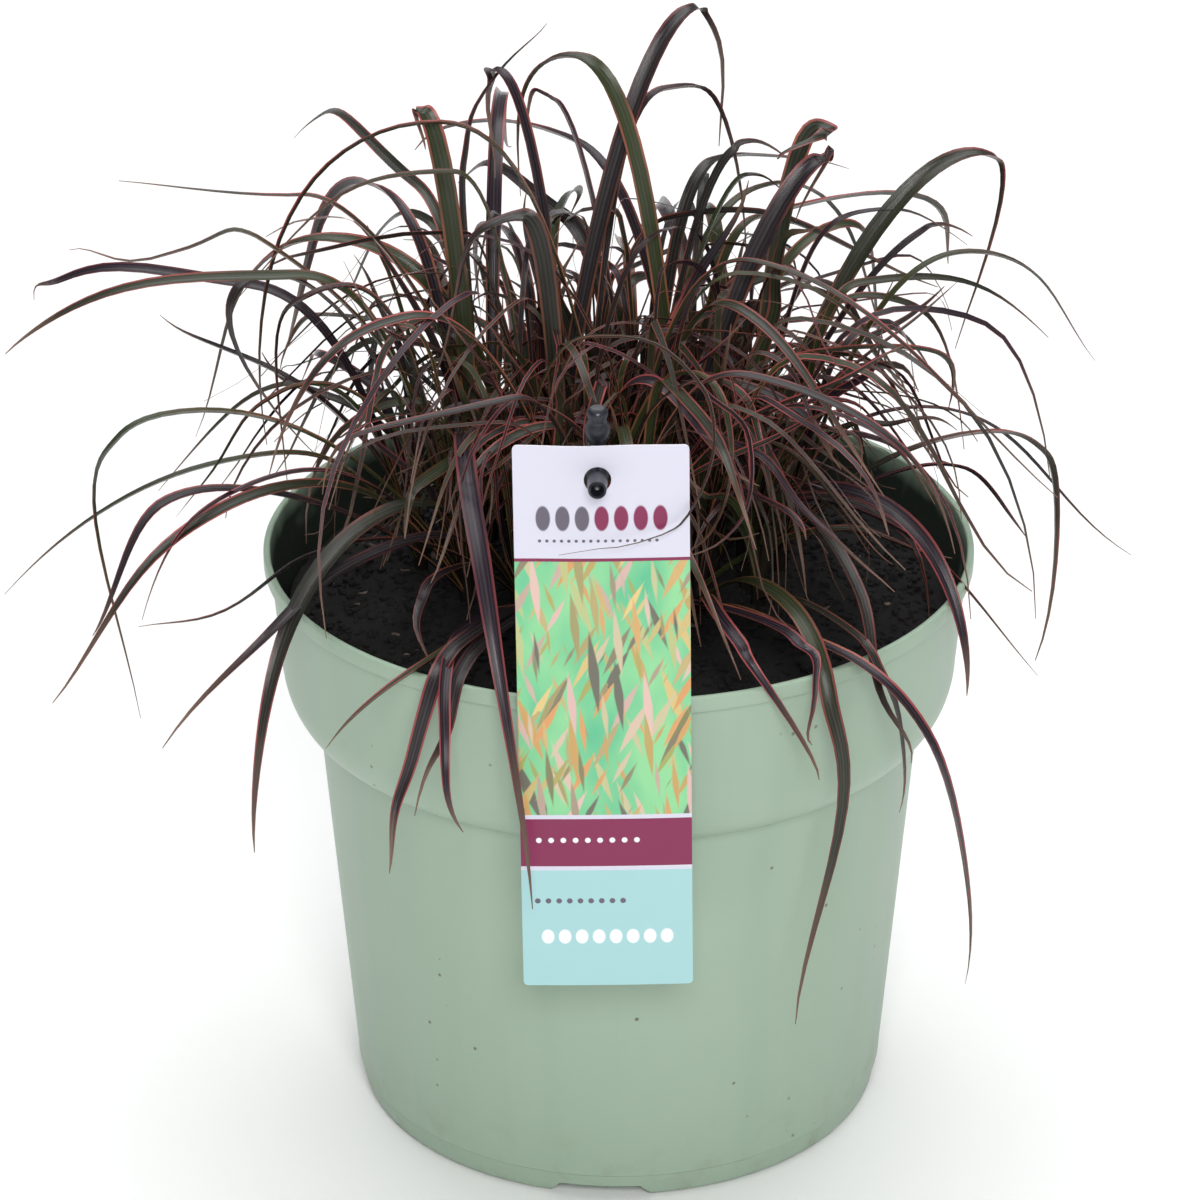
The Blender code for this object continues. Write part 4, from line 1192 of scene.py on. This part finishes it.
solids = [node_tree(name) for name in ("pot", "soil", "label", "label_peg")]
grown = grow(places, solids)
print("leaves grown:", sum(len(blades) for blades in grown))

# %% How well the leaves match their solids
departure = 0.0
for index, (place, blades) in enumerate(zip(places, grown)):
    points = [corner for blade, turn in blades for corner in test_blade(place, blade, turn)[0]]
    points += stem_tree(place)[1:]
    low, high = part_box(f"tuft_{index + 1:02d}")
    for k in (0, 1):
        departure = max(departure, abs(min(p[k] for p in points) - low[k]),
                        abs(max(p[k] for p in points) - high[k]))
    departure = max(departure, abs(max(p.z for p in points) - high[2]))
print("largest departure from the CAD boxes:", round(departure / MM, 3), "mm")

# %% [markdown]
# One leaf is modelled by hand: a grid, four quads across and many along, is extruded to a
# thin closed strip. Copies of it are then laid along the courses. Across the leaf a copy is
# folded to a shallow V with a keel, and it narrows to a fine point. Short leaves use a copy
# with fewer rows, and the hair-thin young leaves the lightest one.

# %% The model leaves
LONG_ROWS, SHORT_ROWS = 34, 18


def model_leaf(name, columns, rows):
    """A thin closed strip one unit long and one wide, with a map of U across and V along."""
    start_clean()
    bpy.ops.mesh.primitive_grid_add(x_subdivisions=columns, y_subdivisions=rows, size=1.0,
                                    location=(0, 0.5, 0))
    item = settle(bpy.context.active_object, name)
    item.data.uv_layers[0].name = LEAF_MAP
    for loop in item.data.loops:
        point = item.data.vertices[loop.vertex_index].co
        item.data.uv_layers[0].data[loop.index].uv = (point.x + 0.5, point.y)
    edit(item)
    bpy.ops.mesh.extrude_region_move(TRANSFORM_OT_translate={"value": (0, 0, -1.0)})
    leave_edit()
    return item


long_leaf = model_leaf("long_leaf", 4, LONG_ROWS)
short_leaf = model_leaf("short_leaf", 2, SHORT_ROWS)
hair_leaf = model_leaf("hair_leaf", 1, SHORT_ROWS)
models = (long_leaf, short_leaf, hair_leaf)
print("model leaves:", [(item.name, triangles(item)) for item in models])

# %% Lay a copy along its course
GROOVE = 0.2
MARGIN_THICKNESS, KEEL_THICKNESS = 0.12, 0.36
FINE_TIP = 0.25
WAVY_FROM = 0.6
LONG_SWING, SHORT_SWING = 9.0, 6.0
FACING = Vector((0, 1, -0.5))
FACING_TO, FACING_FADE = 0.3, 0.3


def laid_leaf(model, points, side, width, turn, traits, facing=None):
    """A copy of a model leaf along points; side lies across it, or at first it faces a way."""
    mesh = model.data.copy()
    rows = len(points) - 1
    aheads = [(points[min(i + 1, rows)] - points[max(i - 1, 0)]).normalized()
              for i in range(rows + 1)]
    acrosses = [Matrix.Rotation(turn * i / rows, 3, ahead) @ side
                for i, ahead in enumerate(aheads)]
    if facing:
        shown = [ahead.cross(facing).normalized() for ahead in aheads]
        if shown[rows // 2].dot(side) < 0:
            shown = [-across for across in shown]
        for i, ahead in enumerate(aheads):
            share = min(1.0, max(0.0, (i / rows - FACING_TO) / FACING_FADE))
            across = shown[i].lerp(side, share)
            acrosses[i] = (across - ahead * across.dot(ahead)).normalized()
    colors = mesh.color_attributes.new(LEAF_TONE, "FLOAT_COLOR", "POINT")
    for vertex in mesh.vertices:
        u, v, below = vertex.co.x, vertex.co.y, vertex.co.z < -0.5
        row = round(v * rows)
        across = acrosses[row]
        upper = aheads[row].cross(across).normalized()
        wide = width_at(row / rows, width, min(FINE_TIP, width))
        inner = 1 - 2 * abs(u)
        depth = GROOVE * wide * inner
        if below:
            thick = KEEL_THICKNESS * min(1.0, wide / 2)
            depth += MARGIN_THICKNESS + (thick - MARGIN_THICKNESS) * inner
        colors.data[vertex.index].color = (*traits, float(below), 1.0)
        vertex.co = (points[row] + across * (u * wide) - upper * depth) * MM
    item = bpy.data.objects.new("leaf", mesh)
    bpy.context.scene.collection.objects.link(item)
    return item


def with_wavy_tip(points, side, draw, swing):
    """The same course with its last part swung to and fro, as real tips are."""
    aside, up = draw.uniform(-swing, swing), draw.uniform(-swing, swing)
    waves = draw.uniform(0.8, 1.7) * math.pi
    waved = []
    for i, point in enumerate(points):
        tail = max(0.0, (i / (len(points) - 1) - WAVY_FROM) / (1 - WAVY_FROM))
        shift = math.sin(tail * waves) * tail
        waved.append(point + side * (shift * aside) + Vector((0, 0, shift * up)))
    return waved


def leaf_traits(draw):
    """How green a leaf is, and how strongly its margins are coloured."""
    green = min(0.9, max(0.0, draw.gauss(0.38, 0.34)))
    return green, draw.uniform(0.3, 1.0)


print("helper ready: laid_leaf")

# %% [markdown]
# Each shoot also has a sheath, the rolled reddish foot that its leaves come out of, and a few
# young leaves too thin for the CAD model. They follow the rule for short leaves with their
# own numbers, and they keep clear of the pot and the card.

# %% Sheath and young leaves
TALL, LONG_REACH = 75.0, 80.0
WIDE, SIDEWAYS = 5.0, 1.15
YOUNG_INSIDE, YOUNG_OUTSIDE, YOUNG_TRIES = 11, 5, 20
YOUNG_RULE = {"rise": (25, 115, 65), "reach": (0.05, 0.55), "width": (0.8, 2.4),
              "rising": 0.15, "onward": 1.0, "climb": (35, 70), "beyond": (0.3, 0.8),
              "lowest": 10, "hang": (10, 95)}
YOUNG_SEED, YOUNG_TURN = 9000, 90
SHEATH_TRAITS = (0.3, 0.6, 1.0, 1.0)
SHEATH_ACROSS, SHEATH_STRETCH = 0.62, 200


def sheath(place, name):
    """The rolled foot of a shoot, turned and set in the soil."""
    low = MOUND_HEIGHT - STEM_DEPTH
    item = turn_form(name, [
        (STEM_RADIUS - 0.4, low), (STEM_RADIUS, low + 0.5), (STEM_RADIUS - 0.3, low + 14),
        (STEM_TOP_RADIUS + 0.3, low + 22), (STEM_TOP_RADIUS, MOUND_HEIGHT + STEM_RISE)], 10)
    while item.data.uv_layers:
        item.data.uv_layers.remove(item.data.uv_layers[0])
    sheath_map = item.data.uv_layers.new(name=LEAF_MAP)
    item.data.transform(Matrix.Translation(Vector((place.x, place.y, 0)) * MM))
    colors = item.data.color_attributes.new(LEAF_TONE, "FLOAT_COLOR", "POINT")
    for vertex in item.data.vertices:
        colors.data[vertex.index].color = SHEATH_TRAITS
    for loop in item.data.loops:
        height = item.data.vertices[loop.vertex_index].co.z / MM - low
        sheath_map.data[loop.index].uv = (SHEATH_ACROSS, height / SHEATH_STRETCH)
    return item


def young_leaf(place, draw):
    """Draw one hair-thin leaf."""
    inside = (place - CROWN).length < CROWN_REACH.y * 0.7
    return drawn_blade(place, draw, 110 if inside else 55, YOUNG_RULE)


def within_frame(points):
    """Whether a course stays inside the CAD model's box."""
    return all(cad_low[k] < point[k] * MM < cad_high[k] for point in points for k in range(3))


kept_clear = solids + [label_screen()]


def joined_leaves(made, *nodes):
    """Join leaves to the first one, and finish the piece."""
    take(made[0])
    for item in made:
        item.select_set(True)
    bpy.ops.object.join()
    dress(made[0], bronze_leaf, "sedge_leaf", *nodes, angle=50)
    return made[0]


def shoot(index, place, blades):
    """One shoot: its sheath, its leaves and its young leaves, joined to one piece."""
    draw = random.Random(YOUNG_SEED + index)
    made = [sheath(place, f"shoot_{index + 1:02d}")]
    for blade, turn in blades:
        path, side = blade_path(place, blade)
        tall = max(p.z for p in path) > MOUND_HEIGHT + TALL
        if tall or (path[-1] - path[0]).length > LONG_REACH:
            model, rows, swing = long_leaf, LONG_ROWS, LONG_SWING
        else:
            model, rows, swing = short_leaf, SHORT_ROWS, SHORT_SWING
        points = with_wavy_tip(spaced_points(path, rows)[0], side, draw, swing)
        reach = points[-1] - points[0]
        shown = tall and blade[3] > WIDE and abs(reach.x) > abs(reach.y) * SIDEWAYS
        made.append(laid_leaf(model, points, side, blade[3], turn, leaf_traits(draw),
                              FACING if shown else None))
    for _ in range(YOUNG_INSIDE if index < TUFTS / 2 else YOUNG_OUTSIDE):
        for _ in range(YOUNG_TRIES):
            blade = young_leaf(place, draw)
            turn = math.radians(draw.uniform(-YOUNG_TURN, YOUNG_TURN))
            path, side = blade_path(place, blade)
            if within_frame(path):
                entry = search_tree(*test_blade(place, blade, turn))
                if not crosses(entry, kept_clear):
                    break
        points = with_wavy_tip(spaced_points(path, SHORT_ROWS)[0], side, draw, SHORT_SWING)
        made.append(laid_leaf(hair_leaf, points, side, blade[3], turn, leaf_traits(draw)))
    return joined_leaves(made, f"tuft_{index + 1:02d}")


shoots = [shoot(index, place, blades)
          for index, (place, blades) in enumerate(zip(places, grown))]
print("shoots:", len(shoots), "with", sum(triangles(item) for item in shoots), "triangles")

# %% [markdown]
# Two leaves are curled too much for the rule: a hair-thin one that hangs across the top of the
# card, and a wider one that loops beside it. Their courses are given point by point.

# %% Curled leaves
CURLS = [
    (2.3, [(-30, -14, 176), (-26, -30, 240), (-16, -48, 272), (-2, -58, 280), (12, -70, 282),
           (24, -84, 275), (27, -95, 266), (25, -102, 256), (19, -108, 246), (13, -110, 242),
           (2, -112, 239), (-6, -112, 238), (-17, -112, 236)]),
    (3.2, [(0, -24, 176), (6, -40, 240), (20, -60, 266), (27, -66, 264), (36, -76, 260),
           (38, -88, 252), (36, -96, 242), (29, -99, 234), (20, -100, 230), (10, -97, 226)]),
]
CURL_SIDE = Vector((0.35, -0.75, 0.55)).normalized()
CURL_SEED, CURL_STEPS = 77, 8


def smooth_course(stations):
    """A fine smooth polyline through a few stations."""
    stations = [Vector(station) for station in stations]
    last = len(stations) - 1
    course = [stations[0]]
    for i in range(last):
        before, after = stations[max(i - 1, 0)], stations[min(i + 2, last)]
        start, end = stations[i], stations[i + 1]
        course += geometry.interpolate_bezier(start, start + (end - before) / 6,
                                              end - (after - start) / 6, end, CURL_STEPS)[1:]
    return course


draw = random.Random(CURL_SEED)
curled = []
for width, stations in CURLS:
    points = spaced_points(smooth_course(stations), LONG_ROWS)[0]
    curled.append(laid_leaf(long_leaf, points, CURL_SIDE, width, 0.0, leaf_traits(draw)))
curls = settle(joined_leaves(curled), "curled_leaves")
for item in models:
    bpy.data.objects.remove(item, do_unlink=True)
print("curled leaves:", triangles(curls), "triangles")

# %% [markdown]
# The dressed plant must be as large as its CAD model. Its box is measured and printed at the
# end, as the CAD model's box was at the start.

# %% Measure and finish
low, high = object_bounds()
print("dressed box in mm:", [round(value / MM, 1) for value in high - low])
